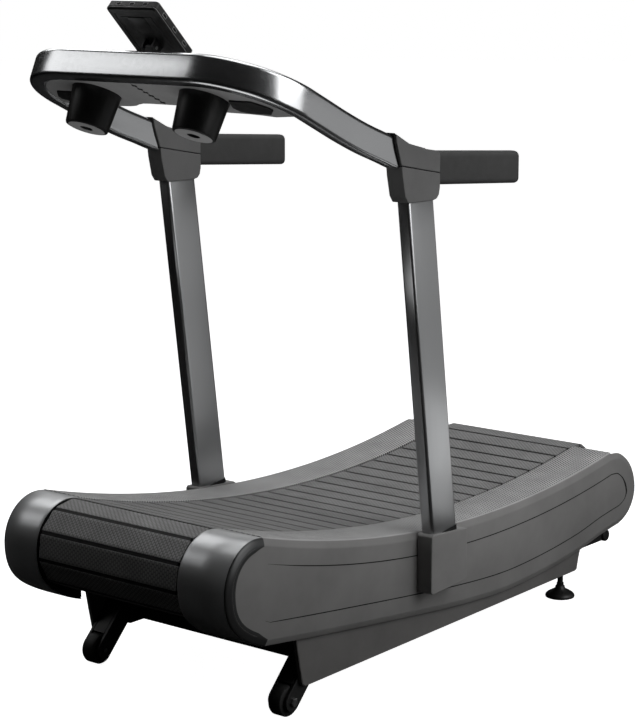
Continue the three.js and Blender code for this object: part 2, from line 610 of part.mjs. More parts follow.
// Each arm slants down from the front end of the base rail, with a slot that the wheel turns in.
function transportWheels() {
  const end = [];
  for (let i = 0; i <= 8; i += 1) {
    const angle = THREE.MathUtils.degToRad(136 + i / 8 * 180);
    end.push([WHEEL_Y + ARM_END_RADIUS * Math.cos(angle), WHEEL_RADIUS + ARM_END_RADIUS * Math.sin(angle)]);
  }
  const outline = [[-521, 95], [-521, 139], [-549, 139], [-555, 129], ...end]
    .map(([y, z]) => new THREE.Vector2(y, z));
  const slot = rod(WHEEL_RADIUS + 3, WHEEL_X0 - 1, WHEEL_X1 + 1, WHEEL_Y, WHEEL_RADIUS);
  const arm = cut(prism(outline, ARM_X0, ARM_X1), slot, rod(6.3, 240, 340, WHEEL_Y, WHEEL_RADIUS, 16));
  addPair('wheel_arm', arm, FRAME_PAINT);
  const tyre = [[6.3, WHEEL_X0], [33, WHEEL_X0], [WHEEL_RADIUS, WHEEL_X0 + 4], [WHEEL_RADIUS, WHEEL_X1 - 4],
    [33, WHEEL_X1], [6.3, WHEEL_X1], [6.3, WHEEL_X0]];
  const profile = tyre.map(([r, x]) => new THREE.Vector2(r, -x)).reverse();
  const wheel = new THREE.LatheGeometry(profile, 24).rotateZ(Math.PI / 2);
  addPair('wheel', wheel.translate(0, WHEEL_Y, WHEEL_RADIUS), RUBBER);
  const bolt = join(rod(6, ARM_X0 - 2, ARM_X1 + 4, WHEEL_Y, WHEEL_RADIUS, 16),
    rod(11, ARM_X1 + GAP, ARM_X1 + 7, WHEEL_Y, WHEEL_RADIUS, 6));
  addPair('wheel_bolt', bolt, AXLE_STEEL);
}

function rearFeet() {
  const profile = [[0, 0], [37, 0], [40, 4], [34, 13], [13, 25], [8, 29], [8, 120], [0, 120]];
  const foot = new THREE.LatheGeometry(profile.map(([r, z]) => new THREE.Vector2(r, z)), 20).rotateX(Math.PI / 2);
  addPair('rear_foot', foot.translate(FOOT_X, FOOT_Y, 0), DARK_PLASTIC);
  const nutTop = RAIL_Z0 - GAP;
  const nut = [[9.7, nutTop - 13], [15, nutTop - 13], [15, nutTop], [9.7, nutTop], [9.7, nutTop - 13]];
  const ring = new THREE.LatheGeometry(nut.map(([r, z]) => new THREE.Vector2(r, z)), 6).rotateX(Math.PI / 2);
  addPair('foot_nut', ring.translate(FOOT_X, FOOT_Y, 0), AXLE_STEEL);
}

const LIFT_HALF_LENGTH = 306;
const LIFT_RADIUS = 17;
const LIFT_Y = 803;
const LIFT_Z = 126;

// A straight tube across the rear, to lift the machine and roll it on the front wheels, on two legs.
function liftHandle() {
  const leg = (x) => box(x, x + 20, RAIL_REAR + GAP, LIFT_Y, LIFT_Z - 13, LIFT_Z + 13);
  const bar = join(rod(LIFT_RADIUS, -LIFT_HALF_LENGTH, LIFT_HALF_LENGTH, LIFT_Y, LIFT_Z, 20), leg(279), leg(-299));
  add('lift_handle', bar, FRAME_PAINT);
}

baseFrame();
sideFrames();
bearingRails();
casings();
treads();
frontCaps();
skirts();
belt();
drums();
posts();
handlebarAndBrackets();
consoleTray();
cupHolders();
monitor();
monitorStand();
transportWheels();
rearFeet();
liftHandle();
treadmill.add(consoleFrame, monitorFrame);

export default treadmill;
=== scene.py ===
"""Looks for the curved manual treadmill: smooth pieces, materials, floor, light and camera.

The code works in millimetres and turns them into metres when a mesh is made.
X runs across the machine, the console end is towards -Y, and Z is up.
"""

import math

import bmesh
import bpy
from mathutils import Matrix, Vector


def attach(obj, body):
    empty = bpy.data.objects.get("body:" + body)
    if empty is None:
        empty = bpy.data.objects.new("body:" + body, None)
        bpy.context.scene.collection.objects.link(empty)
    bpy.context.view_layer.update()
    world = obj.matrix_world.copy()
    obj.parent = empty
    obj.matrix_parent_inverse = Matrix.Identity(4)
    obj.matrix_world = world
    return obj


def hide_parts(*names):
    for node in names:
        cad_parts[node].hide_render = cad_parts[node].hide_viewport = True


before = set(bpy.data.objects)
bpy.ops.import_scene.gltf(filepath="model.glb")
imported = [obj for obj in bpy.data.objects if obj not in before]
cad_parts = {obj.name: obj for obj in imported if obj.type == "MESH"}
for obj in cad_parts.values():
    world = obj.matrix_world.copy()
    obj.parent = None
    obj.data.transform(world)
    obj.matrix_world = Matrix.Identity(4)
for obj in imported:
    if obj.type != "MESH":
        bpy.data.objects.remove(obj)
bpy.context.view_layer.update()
MM = 0.001

# ---------- sizes that the pieces share ----------
DECK_RADIUS = 3350.0
DECK_CENTRE = (180.0, 3681.0)
NOSE_RADIUS = 107.0
BELT_HALF_WIDTH = 216.0
BELT_THICKNESS = 16.0
FIRST_GAP_Y = -761.0
LAST_GAP_Y = 733.0
SLAT_COUNT = 23
DECK_STEPS = 90
WRAP_SLATS = 5
RETURN_SAG = 60.0
CAP_END_Y = -738.0
TREAD_OUTER_X = 344.7
NOSE_SETBACK = 17.0
CAP_INNER_X = 222.0
CAP_FLAT_X = 280.0
NOSE_EDGE_Y = -735.0
GROOVE_INSET = 55.6
GROOVE_START_Y = -740.0
ROLL_OFF_Y = 735.0
TREAD_END_Y = 745.0
POST_LEAN = math.radians(7.65)
POST_FOOT = (375.75, -105.0, 346.0)
POST_SIZE = (35.5, 101.0)
BAR_X = 374.0
BAR_SIZE = (38.0, 69.0)
LOOP_TILT = math.radians(24.5)
LOOP_START = (-620.0, 1410.3)
LOOP_CORNER = 180.0
CUP_X = 164.0
CUP_Y = -87.0
MONITOR_TILT = math.radians(45.0)
MONITOR_CENTRE = (0.0, -708.0, 1564.5)
MONITOR_HALF = (74.0, 80.0)
WHEEL_CENTRE = (-610.0, 37.0)
FOOT_PLACE = (296.0, 580.0)
LIFT_CENTRE = (0.0, 803.0, 126.0)


def nose_centre(y):
    reach = DECK_RADIUS + NOSE_RADIUS
    return (y, DECK_CENTRE[1] - math.sqrt(reach ** 2 - (y - DECK_CENTRE[0]) ** 2))


FRONT_NOSE = nose_centre(-776.0)
REAR_NOSE = nose_centre(770.0)


def deck_z(y):
    return DECK_CENTRE[1] - math.sqrt(DECK_RADIUS ** 2 - (y - DECK_CENTRE[0]) ** 2)


# ---------- materials ----------
class Nodes:
    """A short way to write a node material."""

    def __init__(self, name):
        self.material = bpy.data.materials.new(name)
        self.material.use_nodes = True
        self.tree = self.material.node_tree
        self.shader = self.tree.nodes["Principled BSDF"]
        self.coordinates = self.tree.nodes.new("ShaderNodeTexCoord")

    def add(self, kind, **settings):
        node = self.tree.nodes.new(kind)
        for key, value in settings.items():
            if key in node.inputs:
                node.inputs[key].default_value = value
            else:
                setattr(node, key, value)
        return node

    def link(self, source, target):
        self.tree.links.new(source, target)

    def noise(self, scale, detail=3.0, stretch=None):
        texture = self.add("ShaderNodeTexNoise")
        texture.inputs["Scale"].default_value = scale
        texture.inputs["Detail"].default_value = detail
        source = self.coordinates.outputs["Object"]
        if stretch:
            mapping = self.add("ShaderNodeMapping")
            mapping.inputs["Scale"].default_value = stretch
            self.link(source, mapping.inputs["Vector"])
            source = mapping.outputs["Vector"]
        self.link(source, texture.inputs["Vector"])
        return texture.outputs["Fac"]

    def ramp(self, source, low, high, first=0.3, last=0.7):
        node = self.add("ShaderNodeValToRGB")
        node.color_ramp.elements[0].position = first
        node.color_ramp.elements[1].position = last
        node.color_ramp.elements[0].color = low
        node.color_ramp.elements[1].color = high
        self.link(source, node.inputs["Fac"])
        return node.outputs["Color"]

    def level(self, source, low, high, first=0.3, last=0.7):
        node = self.add("ShaderNodeMapRange")
        node.inputs["From Min"].default_value = first
        node.inputs["From Max"].default_value = last
        node.inputs["To Min"].default_value = low
        node.inputs["To Max"].default_value = high
        self.link(source, node.inputs["Value"])
        return node.outputs["Result"]

    def calculate(self, operation, first, second=None):
        node = self.add("ShaderNodeMath")
        node.operation = operation
        for slot, value in enumerate((first, second)):
            if value is None:
                continue
            if isinstance(value, (int, float)):
                node.inputs[slot].default_value = value
            else:
                self.link(value, node.inputs[slot])
        return node.outputs["Value"]

    def honeycomb(self, pitch):
        """Three crossed waves: 1 in the middle of each cell, 0 on the walls."""
        total = None
        for turn in (0.0, math.pi / 3, 2 * math.pi / 3):
            dot = self.add("ShaderNodeVectorMath")
            dot.operation = "DOT_PRODUCT"
            size = 2 * math.pi / (pitch * MM * math.cos(math.pi / 6))
            dot.inputs[1].default_value = (size * math.cos(turn), size * math.sin(turn), 0.0)
            self.link(self.coordinates.outputs["UV"], dot.inputs[0])
            wave = self.calculate("COSINE", dot.outputs["Value"])
            total = wave if total is None else self.calculate("ADD", total, wave)
        return self.level(total, 0.0, 1.0, -1.5, 0.6)

    def bump(self, height, strength, distance):
        node = self.add("ShaderNodeBump")
        node.inputs["Strength"].default_value = strength
        node.inputs["Distance"].default_value = distance * MM
        self.link(height, node.inputs["Height"])
        previous = self.shader.inputs["Normal"]
        if previous.is_linked:
            self.link(previous.links[0].from_socket, node.inputs["Normal"])
        self.link(node.outputs["Normal"], self.shader.inputs["Normal"])

    def colour(self, source):
        self.link(source, self.shader.inputs["Base Color"])

    def rough(self, source):
        self.link(source, self.shader.inputs["Roughness"])


def grey(value, warm=0.0):
    return (value * (1 + warm), value, value * (1 - warm), 1.0)


def moulded(name, value, rough, grain=0.25, warm=0.0, coat=0.0):
    """Moulded plastic: slight mottling and a fine spark-eroded grain."""
    m = Nodes(name)
    m.colour(m.ramp(m.noise(9.0, 5.0), grey(value * 0.9, warm), grey(value * 1.1, warm)))
    m.rough(m.level(m.noise(40.0), rough - 0.05, rough + 0.06))
    m.shader.inputs["Coat Weight"].default_value = coat
    m.bump(m.noise(1500.0, 2.0), grain, 0.12)
    return m.material


def painted_metal(name, value, rough, metallic, streaks=(1.0, 1.0, 1.0), strength=0.04):
    """Satin metal or paint. A strength above 0 gives it a faint grain."""
    m = Nodes(name)
    m.colour(m.ramp(m.noise(3.0, 2.0), grey(value * 0.97, -0.015), grey(value * 1.03, -0.015)))
    m.rough(m.level(m.noise(50.0, 2.0, streaks), rough - 0.015, rough + 0.02))
    m.shader.inputs["Metallic"].default_value = metallic
    m.bump(m.noise(900.0, 2.0, streaks), strength, 0.02)
    return m.material


def machined(name, value, rough):
    m = Nodes(name)
    m.colour(m.ramp(m.noise(25.0, 6.0), grey(value * 0.8), grey(value * 1.1)))
    m.rough(m.level(m.noise(60.0, 5.0), rough - 0.08, rough + 0.12))
    m.shader.inputs["Metallic"].default_value = 1.0
    m.bump(m.noise(900.0, 3.0, (1.0, 0.1, 1.0)), 0.08, 0.05)
    return m.material


def slat_rubber(name, value, pitch, depth, relief_shade_contrast):
    """Moulded slat surface: a shallow honeycomb over mottled rubber. Its colour follows the cell height as
    painted shade and light: darker on the low cell walls, lighter on the raised tops.
    """
    m = Nodes(name)
    cells = m.honeycomb(pitch)
    # Painted shade: the cells' relief is also painted into the colour, dark walls and light tops.
    low = grey(value * (1 - relief_shade_contrast))
    high = grey(value * (1 + relief_shade_contrast))
    mix = m.add("ShaderNodeMix", data_type="RGBA", blend_type="MULTIPLY")
    mix.inputs["Factor"].default_value = 1.0
    m.link(m.ramp(cells, low, high, 0.1, 0.8), mix.inputs["A"])
    m.link(m.ramp(m.noise(14.0, 5.0), grey(0.8), grey(1.0)), mix.inputs["B"])
    m.colour(mix.outputs["Result"])
    m.rough(m.level(m.noise(90.0, 4.0), 0.62, 0.82))
    m.bump(m.noise(1100.0, 3.0), 0.3, 0.15)
    m.bump(cells, 0.5, depth)
    return m.material


MATERIALS = {
    "grey_casing": moulded("casing_plastic", 0.225, 0.5, warm=0.012),
    "dark_skirt": moulded("skirt_plastic", 0.14, 0.55, warm=0.02),
    "silver_cap": painted_metal("cap_satin_silver", 0.5, 0.36, 0.7),
    "tube_silver": painted_metal("tube_satin", 0.7, 0.23, 1.0, (2.0, 0.3, 2.0), 0.0),
    "post_silver": painted_metal("post_satin", 0.5, 0.3, 1.0, (2.0, 2.0, 0.2), 0.0),
    # Painted shade: the nose bevel is made near-black for the shade on its turned edge.
    "nose_bevel": painted_metal("bevel_painted_shade_satin", 0.07, 0.34, 0.6),
    # Painted shade: the honeycomb contrast paints the relief of the cells into the colour of the tread and
    # the slats.
    "foot_tread": slat_rubber("tread_honeycomb", 0.32, 9.0, 0.6, 0.95),
    "slat_rubber": slat_rubber("slat_honeycomb", 0.21, 7.5, 0.5, 0.4),
    # Painted shade: near-black for the shade under the slats and in the gaps between them.
    "slat_carrier": moulded("painted_shade_in_slat_gaps", 0.004, 0.8),
    # Painted highlight: a light grey for the bright line along the outer edge of each tread.
    "tread_edge": moulded("tread_edge_painted_highlight", 0.45, 0.5),
    "grey_plastic": moulded("bracket_plastic", 0.155, 0.5),
    "grip_rubber": moulded("grip_rubber", 0.058, 0.75, 0.6),
    "tyre": moulded("wheel_rubber", 0.012, 0.6, 0.4),
    "black_plastic": moulded("black_plastic", 0.008, 0.45),
    # Painted light: a light grey for light bounced up onto the tray's underside and the cup bottoms; the tray
    # is black plastic.
    "tray_plastic": moulded("tray_plastic", 0.5, 0.5),
    "black_gloss": moulded("cup_black", 0.006, 0.42, 0.06),
    "monitor_black": moulded("monitor_black", 0.004, 0.5, 0.1),
    # Painted highlight: a light grey for the bright lines along the monitor's edges and round its slots.
    "monitor_line": moulded("monitor_edge_painted_highlight", 0.3, 0.45, 0.05),
    # Painted shade: near-black for the shade in grooves, seams, slots and gaps between parts.
    "gap_black": moulded("shadow_gap_black", 0.002, 0.9),
    "painted_frame": painted_metal("frame_black_paint", 0.012, 0.5, 0.0, strength=0.15),
    "steel": machined("machined_steel", 0.42, 0.32),
    "screen_glass": moulded("screen_window", 0.012, 0.12, 0.02, coat=0.5),
    "button_grey": moulded("button_grey", 0.2, 0.5),
}


# ---------- mesh helpers ----------
def piece(name, vertices, faces, material, body="machine", slot=None, replaces=None,
          bevel=0.0, segments=2, angle=32.0, uvs=None):
    """Makes one object from millimetres and ties it to its body."""
    mesh = bpy.data.meshes.new(name)
    mesh.from_pydata([Vector(v) * MM for v in vertices], [], faces)
    if uvs:
        layer = mesh.uv_layers.new(name="UVMap")
        for loop in mesh.loops:
            layer.data[loop.index].uv = [c * MM for c in uvs[loop.vertex_index]]
    work = bmesh.new()
    work.from_mesh(mesh)
    bmesh.ops.recalc_face_normals(work, faces=work.faces)
    work.to_mesh(mesh)
    work.free()
    mesh.materials.append(MATERIALS[material])
    for polygon in mesh.polygons:
        polygon.use_smooth = True
    mesh.set_sharp_from_angle(angle=math.radians(angle))
    obj = bpy.data.objects.new(name, mesh)
    bpy.context.scene.collection.objects.link(obj)
    if bevel:
        rounding = obj.modifiers.new("rounding", "BEVEL")
        rounding.width = bevel * MM
        rounding.segments = segments
        rounding.limit_method = "ANGLE"
        rounding.angle_limit = math.radians(angle)
        rounding.harden_normals = True
    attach(obj, body)
    if replaces:
        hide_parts(replaces)
    return obj


def both(name, vertices, faces, material, replaces=None, uvs=None, body=None, **more):
    """The same piece on the left (+X) and mirrored on the right."""
    made = []
    for side, sign in (("left", 1), ("right", -1)):
        made.append(piece(
            f"{name}_{side}", [(x * sign, y, z) for x, y, z in vertices], faces, material,
            replaces=f"{replaces}_{side}" if replaces else None, uvs=uvs,
            body=f"{body}_{side}" if body else "machine", **more))
    return made


def skin(rings, caps=(True, True), closed=True):
    """Faces between rings with the same number of points."""
    count = len(rings[0])
    vertices = [p for ring in rings for p in ring]
    faces = []
    for k in range(len(rings) - 1):
        for i in range(count if closed else count - 1):
            j = (i + 1) % count
            faces.append((k * count + i, k * count + j, (k + 1) * count + j, (k + 1) * count + i))
    if caps[0]:
        faces.append(tuple(reversed(range(count))))
    if caps[1]:
        last = (len(rings) - 1) * count
        faces.append(tuple(last + i for i in range(count)))
    return vertices, faces


def merge(*parts):
    vertices = []
    faces = []
    for part_vertices, part_faces in parts:
        start = len(vertices)
        vertices += part_vertices
        faces += [tuple(i + start for i in face) for face in part_faces]
    return vertices, faces


def prism(outline, x0, x1):
    """A side-view outline (y, z) extruded across the machine."""
    return skin([[(x, y, z) for y, z in outline] for x in (x0, x1)])


def block(x0, x1, y0, y1, z0, z1):
    return prism([(y0, z0), (y1, z0), (y1, z1), (y0, z1)], x0, x1)


def lathe(profile, steps=48, centre=(0.0, 0.0, 0.0), axis="Z", closed=False):
    """Turns a profile of (radius, height) about an axis. A closed profile makes a ring."""
    rings = []
    for k in range(steps):
        turn = 2 * math.pi * k / steps
        ring = []
        for radius, height in profile:
            across = radius * math.cos(turn)
            along = radius * math.sin(turn)
            point = (across, along, height) if axis == "Z" else (height, across, along)
            ring.append(tuple(a + b for a, b in zip(point, centre)))
        rings.append(ring)
    count = len(profile)
    vertices = [p for ring in rings for p in ring]
    faces = []
    for k in range(steps):
        after = (k + 1) % steps
        for i in range(count if closed else count - 1):
            j = (i + 1) % count
            faces.append((k * count + i, after * count + i, after * count + j, k * count + j))
    if not closed:
        for end in (0, count - 1):
            if profile[end][0] > 0.01:
                faces.append(tuple(k * count + end for k in range(steps)))
    return vertices, faces


def rounded_rectangle(width, height, radius, steps=6):
    points = []
    for quarter, (sx, sy) in enumerate(((1, 1), (-1, 1), (-1, -1), (1, -1))):
        for i in range(steps + 1):
            angle = (quarter + i / steps) * math.pi / 2
            points.append((sx * (width / 2 - radius) + radius * math.cos(angle),
                           sy * (height / 2 - radius) + radius * math.sin(angle)))
    return points


def turned(vertices, angle, centre):
    """Turns points about the X axis and then moves the origin to centre."""
    turn = Matrix.Rotation(angle, 3, "X")
    return [tuple(turn @ Vector(v) + Vector(centre)) for v in vertices]


def in_console(part):
    """From the tilted plane of the handlebar loop to the machine's frame."""
    return turned(part[0], -LOOP_TILT, (0.0, *LOOP_START)), part[1]


def in_monitor(part):
    return turned(part[0], -MONITOR_TILT, MONITOR_CENTRE), part[1]


# ---------- side view ----------
def arc(centre, radius, start, end, steps):
    points = []
    for i in range(steps + 1):
        angle = start + (end - start) * i / steps
        points.append((centre[0] + radius * math.cos(angle), centre[1] + radius * math.sin(angle)))
    return points


def spline(points, steps):
    """A smooth curve through points of any dimension."""
    last = len(points) - 1
    made = []
    for k in range(steps + 1):
        along = last * k / steps
        i = min(int(along), last - 1)
        t = along - i
        p0, p1, p2, p3 = (Vector(points[min(max(i + d, 0), last)]) for d in (-1, 0, 1, 2))
        v0 = (p2 - p0) / 2
        v1 = (p3 - p1) / 2
        point = (2 * p1 - 2 * p2 + v0 + v1) * t ** 3 + (3 * p2 - 3 * p1 - 2 * v0 - v1) * t ** 2 + v0 * t + p1
        made.append(tuple(point))
    return made


def bezier(p0, p1, p2, p3, steps):
    made = []
    for i in range(steps + 1):
        t = i / steps
        weights = ((1 - t) ** 3, 3 * t * (1 - t) ** 2, 3 * t ** 2 * (1 - t), t ** 3)
        made.append(tuple(sum(w * p[d] for w, p in zip(weights, (p0, p1, p2, p3))) for d in (0, 1)))
    return made


REAR_ROLL = [(781, 373), (815, 357), (845, 332), (866, 300), (876, 262), (870, 228), (850, 199), (821, 180),
             (792, 170)]
BELLY = [(697, 157), (572, 134), (400, 116), (215, 109), (11, 121), (-225, 146), (-547, 184), (-735, 208)]



def side_outline(setback=0.0):
    """The side casing's outline, anticlockwise: down from the deck's front end and back along the belly."""
    front = nose_centre(-776.0 + setback)
    front_angle = math.atan2(front[1] - DECK_CENTRE[1], front[0] - DECK_CENTRE[0])
    rear_angle = -math.pi / 2 + math.asin((ROLL_OFF_Y - DECK_CENTRE[0]) / DECK_RADIUS)
    deck = arc(DECK_CENTRE, DECK_RADIUS, front_angle, rear_angle, DECK_STEPS)
    rear = spline([deck[-1]] + REAR_ROLL, 60)
    belly = spline([rear[-1]] + BELLY, 72)
    tip = (front[0] - NOSE_RADIUS, front[1])
    chin = bezier(BELLY[-1], (tip[0] + 35, BELLY[-1][1] + 36), (tip[0], tip[1] - 72), tip, 20)
    brow = arc(front, NOSE_RADIUS, math.pi, front_angle + math.pi, 24)
    outline = []
    for run in (deck, rear, belly, chin, brow):
        outline += run[:-1]
    return outline[::-1]


def frames_of(outline):
    """Points of an anticlockwise outline with the directions that point into it."""
    count = len(outline)
    made = []
    for i, (y, z) in enumerate(outline):
        before = outline[i - 1]
        after = outline[(i + 1) % count]
        along = Vector((after[0] - before[0], after[1] - before[1])).normalized()
        made.append((y, z, -along.y, along.x))
    return made


def shrink(outline, amount):
    """Moves every point of an outline inwards."""
    return [(y + ny * amount, z + nz * amount) for y, z, ny, nz in frames_of(outline)]


# ---------- casings, treads, caps and skirts ----------
def casings():
    outline = side_outline(NOSE_SETBACK)
    rings = []
    bevel = ((0, 347.4), (0.6, 348.3), (1.8, 349.0), (6, 350.9), (11, 353.1), (14.6, 354.6), (17, 355))
    for inset, x in bevel:
        rings.append([(x, y, z) for y, z in shrink(outline, inset)])
    inner = [[(x, y, z) for y, z in shrink(outline, inset)] for inset, x in ((30, 345), (0.01, 345))]
    both("casing_cover", *skin(inner + rings), "grey_casing", replaces="casing", angle=40)

    rim = [(226, 5), (345.6, 5), (345.6, 11), (226, 11)]
    both("casing_rim", *band(nose_path(), rim), "grey_casing", bevel=1.2)


def casing_grooves():
    """A fine groove along the top and the belly of each casing, joined round the rear nose. It is drawn as a
    thin black strip of painted shade.
    """
    outline = side_outline(NOSE_SETBACK)
    path = []
    for y, z, ny, nz in frames_of(outline):
        y += ny * GROOVE_INSET
        z += nz * GROOVE_INSET
        nearest = min(math.hypot(y - a, z - b) for a, b in outline)
        if y > GROOVE_START_Y and nearest > GROOVE_INSET * 0.99:
            path.append((y, z))
    rings = []
    for i, (y, z) in enumerate(path):
        before = path[max(i - 1, 0)]
        after = path[min(i + 1, len(path) - 1)]
        along = Vector((after[0] - before[0], after[1] - before[1])).normalized()
        half = 0.2 + 1.1 * min(1.0, i / 8, (len(path) - 1 - i) / 8)
        section = ((354.4, -half), (355.2, -half), (355.2, half), (354.4, half))
        rings.append([(x, y - along.y * across, z + along.x * across) for x, across in section])
    # Painted shade: the black strip stands for the shade in the groove.
    both("casing_groove", *skin(rings), "gap_black", slot="grey_casing")


def nose_bevels():
    """The satin edge that joins each front cap to the flat side of its casing. Its near-black colour is
    painted shade; the real edge is part of the grey casing.
    """
    frames = frames_of(side_outline(NOSE_SETBACK))
    rearmost = frames.index(max(frames))
    rings = []
    for y, z, ny, nz in frames[rearmost:] + frames[:rearmost]:
        if y > NOSE_EDGE_Y:
            continue
        wide = 9 * min(1.0, (NOSE_EDGE_Y - y) / 40)
        section = ((344.6, -0.35), (347.6, -0.35), (349.3, 1.4), (351.25, 5.8), (353.4, 11), (354.8, 14.6),
                   (355.4, 17 + wide * 0.6), (355.2, 17 + wide), (354.4, 17 + wide), (349, 12), (344.6, 5))
        rings.append([(x, y + ny * inset, z + nz * inset) for x, inset in section])
    both("casing_nose_bevel", *skin(rings), "nose_bevel", slot="grey_casing", angle=50)


def casing_slots():
    """A dark crescent in the groove of each casing, at the rear nose: painted shade of the recess there."""
    outline = side_outline()
    places = [f for f in frames_of(outline) if f[0] > 800 and 196 < f[1] < 352]
    places.sort(key=lambda f: -f[1])
    rings = []
    for i, (y, z, ny, nz) in enumerate(places):
        half = 0.3 + 3.0 * math.sin(math.pi * i / (len(places) - 1)) ** 0.8
        ring = []
        for x, across in ((353.2, -half), (355.3, -half), (355.3, half), (353.2, half)):
            ring.append((x, y + ny * (56.4 + across), z + nz * (56.4 + across)))
        rings.append(ring)
    both("casing_recess_shade", *skin(rings), "gap_black", slot="grey_casing")


def band(path, section):
    """A closed section of (x, inset) carried along a path of points with inward directions."""
    rings = [[(x, y + ny * inset, z + nz * inset) for x, inset in section] for y, z, ny, nz in path]
    return skin(rings)


def deck_path(y0, y1, steps):
    made = []
    for i in range(steps + 1):
        y = y0 + (y1 - y0) * i / steps
        angle = math.atan2(deck_z(y) - DECK_CENTRE[1], y - DECK_CENTRE[0])
        made.append((y, deck_z(y), math.cos(angle), math.sin(angle)))
    return made


def rear_nose_path(end_degrees, steps):
    start = math.atan2(DECK_CENTRE[1] - REAR_NOSE[1], DECK_CENTRE[0] - REAR_NOSE[0])
    made = []
    for i in range(steps + 1):
        angle = start + (math.radians(end_degrees) - start) * i / steps
        c, s = math.cos(angle), math.sin(angle)
        made.append((REAR_NOSE[0] + NOSE_RADIUS * c, REAR_NOSE[1] + NOSE_RADIUS * s, -c, -s))
    return made


def nose_path():
    """Deck, rear nose and the rear end of the belly."""
    rear = []
    for f in frames_of(side_outline())[::-1][DECK_STEPS:]:
        if f[0] < 640:
            break
        rear.append(f)
    return deck_path(CAP_END_Y + 1, ROLL_OFF_Y, 90)[:-1] + rear


def lengths_along(path):
    total = 0.0
    made = [0.0]
    for a, b in zip(path, path[1:]):
        total += math.hypot(b[0] - a[0], b[1] - a[1])
        made.append(total)
    return made


def treads():
    path = deck_path(CAP_END_Y + 0.5, TREAD_END_Y, 100)
    section = [(224.6, 4.6), (224.0, 4.0), (224.0, -1.0), (225.2, -2), (341.6, -2), (343.2, -1.4),
               (344.0, 0.2), (344.0, 4.6)]
    vertices, faces = band(path, section)
    uvs = []
    for distance in lengths_along(path):
        uvs += [(x, distance) for x, _ in section]
    both("foot_tread", vertices, faces, "foot_tread", replaces="tread", uvs=uvs, angle=50)
    # Painted highlight: a light strip along the tread's outer edge stands for the highlight on the rounded
    # edge.
    edge = [(341.4, -2.3), (343.4, -1.7), (344.6, 0.2), (344.6, 1.6), (343.6, 1.6), (343.0, -0.6),
            (341.4, -1.2)]
    both("tread_edge_highlight_strip", *band(path, edge), "tread_edge", slot="foot_tread")
    # Painted shade: a near-black strip down in the gap between the tread and the slat ends.
    inner = [(218.6, 9), (223.4, 9), (223.4, 30), (218.6, 30)]
    long_path = deck_path(CAP_END_Y + 2, 768, 60) + rear_nose_path(-70, 24)[1:]
    both("belt_side_gap_shade", *band(long_path, inner), "gap_black", slot="painted_frame")


def front_caps():
    shell = []
    inner = []
    for i in range(23):
        x = CAP_INNER_X + (TREAD_OUTER_X - CAP_INNER_X) * i / 22
        setback = NOSE_SETBACK * max(0.0, (x - CAP_FLAT_X) / (TREAD_OUTER_X - CAP_FLAT_X)) ** 2
        rounding = 1.5 * max(0.0, 1 - (x - CAP_INNER_X) / 4) ** 2
        outline = side_outline(setback)
        shell.append([(x, y, z) for y, z in cap_part(shrink(outline, rounding - 1))])
        inner.insert(0, [(max(x, CAP_INNER_X + 4), y, z) for y, z in cap_part(shrink(outline, 5.0))])
    count = len(shell[0])
    vertices, faces = skin(shell + inner, caps=(False, False), closed=False)
    total = len(shell + inner)
    for end in (0, count - 1):
        for a in range(total // 2 - 1):
            b = total - 1 - a
            faces.append(tuple(ring * count + end for ring in (a, a + 1, b - 1, b)))
    last = (total - 1) * count
    for i in range(count - 1):
        faces.append((i, i + 1, last + i + 1, last + i))
    both("front_cap_cover", vertices, faces, "silver_cap", replaces="front_cap", angle=40)
    # Painted shade: a near-black wall on the inner side of each cap, where it faces the belt.
    web = cap_part(shrink(side_outline(), 4.5))
    both("front_cap_inner_shade", *prism(web, 222.6, 225.6), "gap_black", slot="silver_cap")


def cap_part(ring):
    """The part of a ring ahead of the cap's rear edge, from the deck round the nose to the belly."""
    count = len(ring)
    start = next(i for i in range(count) if ring[i][0] < CAP_END_Y and ring[i - 1][0] >= CAP_END_Y)
    inside = []
    i = start
    while ring[i % count][0] < CAP_END_Y:
        inside.append(ring[i % count])
        i += 1
    before = ring[start - 1]
    after = ring[i % count]
    inside.insert(0, at_y(before, inside[0], CAP_END_Y))
    inside.append(at_y(inside[-1], after, CAP_END_Y))
    return resampled(inside, 72)


def at_y(a, b, y):
    t = (y - a[0]) / (b[0] - a[0])
    return (y, a[1] + (b[1] - a[1]) * t)


def resampled(points, steps):
    distances = lengths_along(points)
    made = []
    k = 0
    for i in range(steps + 1):
        wanted = distances[-1] * i / steps
        while k < len(points) - 2 and distances[k + 1] < wanted:
            k += 1
        span = distances[k + 1] - distances[k]
        t = (wanted - distances[k]) / span if span else 0.0
        made.append((points[k][0] + (points[k + 1][0] - points[k][0]) * t,
                     points[k][1] + (points[k + 1][1] - points[k][1]) * t))
    return made


def skirts():
    belly = [p for p in shrink(side_outline(), 4.0) if -640 < p[0] < 628 and p[1] < 240]
    belly.sort(key=lambda p: p[0])
    low = [(-612, 188), (-600, 127), (-589, 77), (-580, 69.4), (586, 79), (594, 82), (602, 112), (611, 138)]
    outline = low + belly[::-1]
    stations = ((329, outline), (338.4, outline), (340, shrunk_low(outline, low)))
    pan = [[(x, y, z) for y, z in ring] for x, ring in stations]
    both("skirt_cover", *skin(pan), "dark_skirt", replaces="skirt", bevel=1.0)


def shrunk_low(outline, low):
    """The outer face of a skirt is a little smaller along its free edges."""
    made = []
    for i, (y, z) in enumerate(outline):
        if i < len(low):
            y -= math.copysign(1.6, y)
            z += 1.6
        made.append((y, z))
    return made


# ---------- belt ----------
def polar(centre, radius, angle):
    return (centre[0] + radius * math.cos(angle), centre[1] + radius * math.sin(angle))


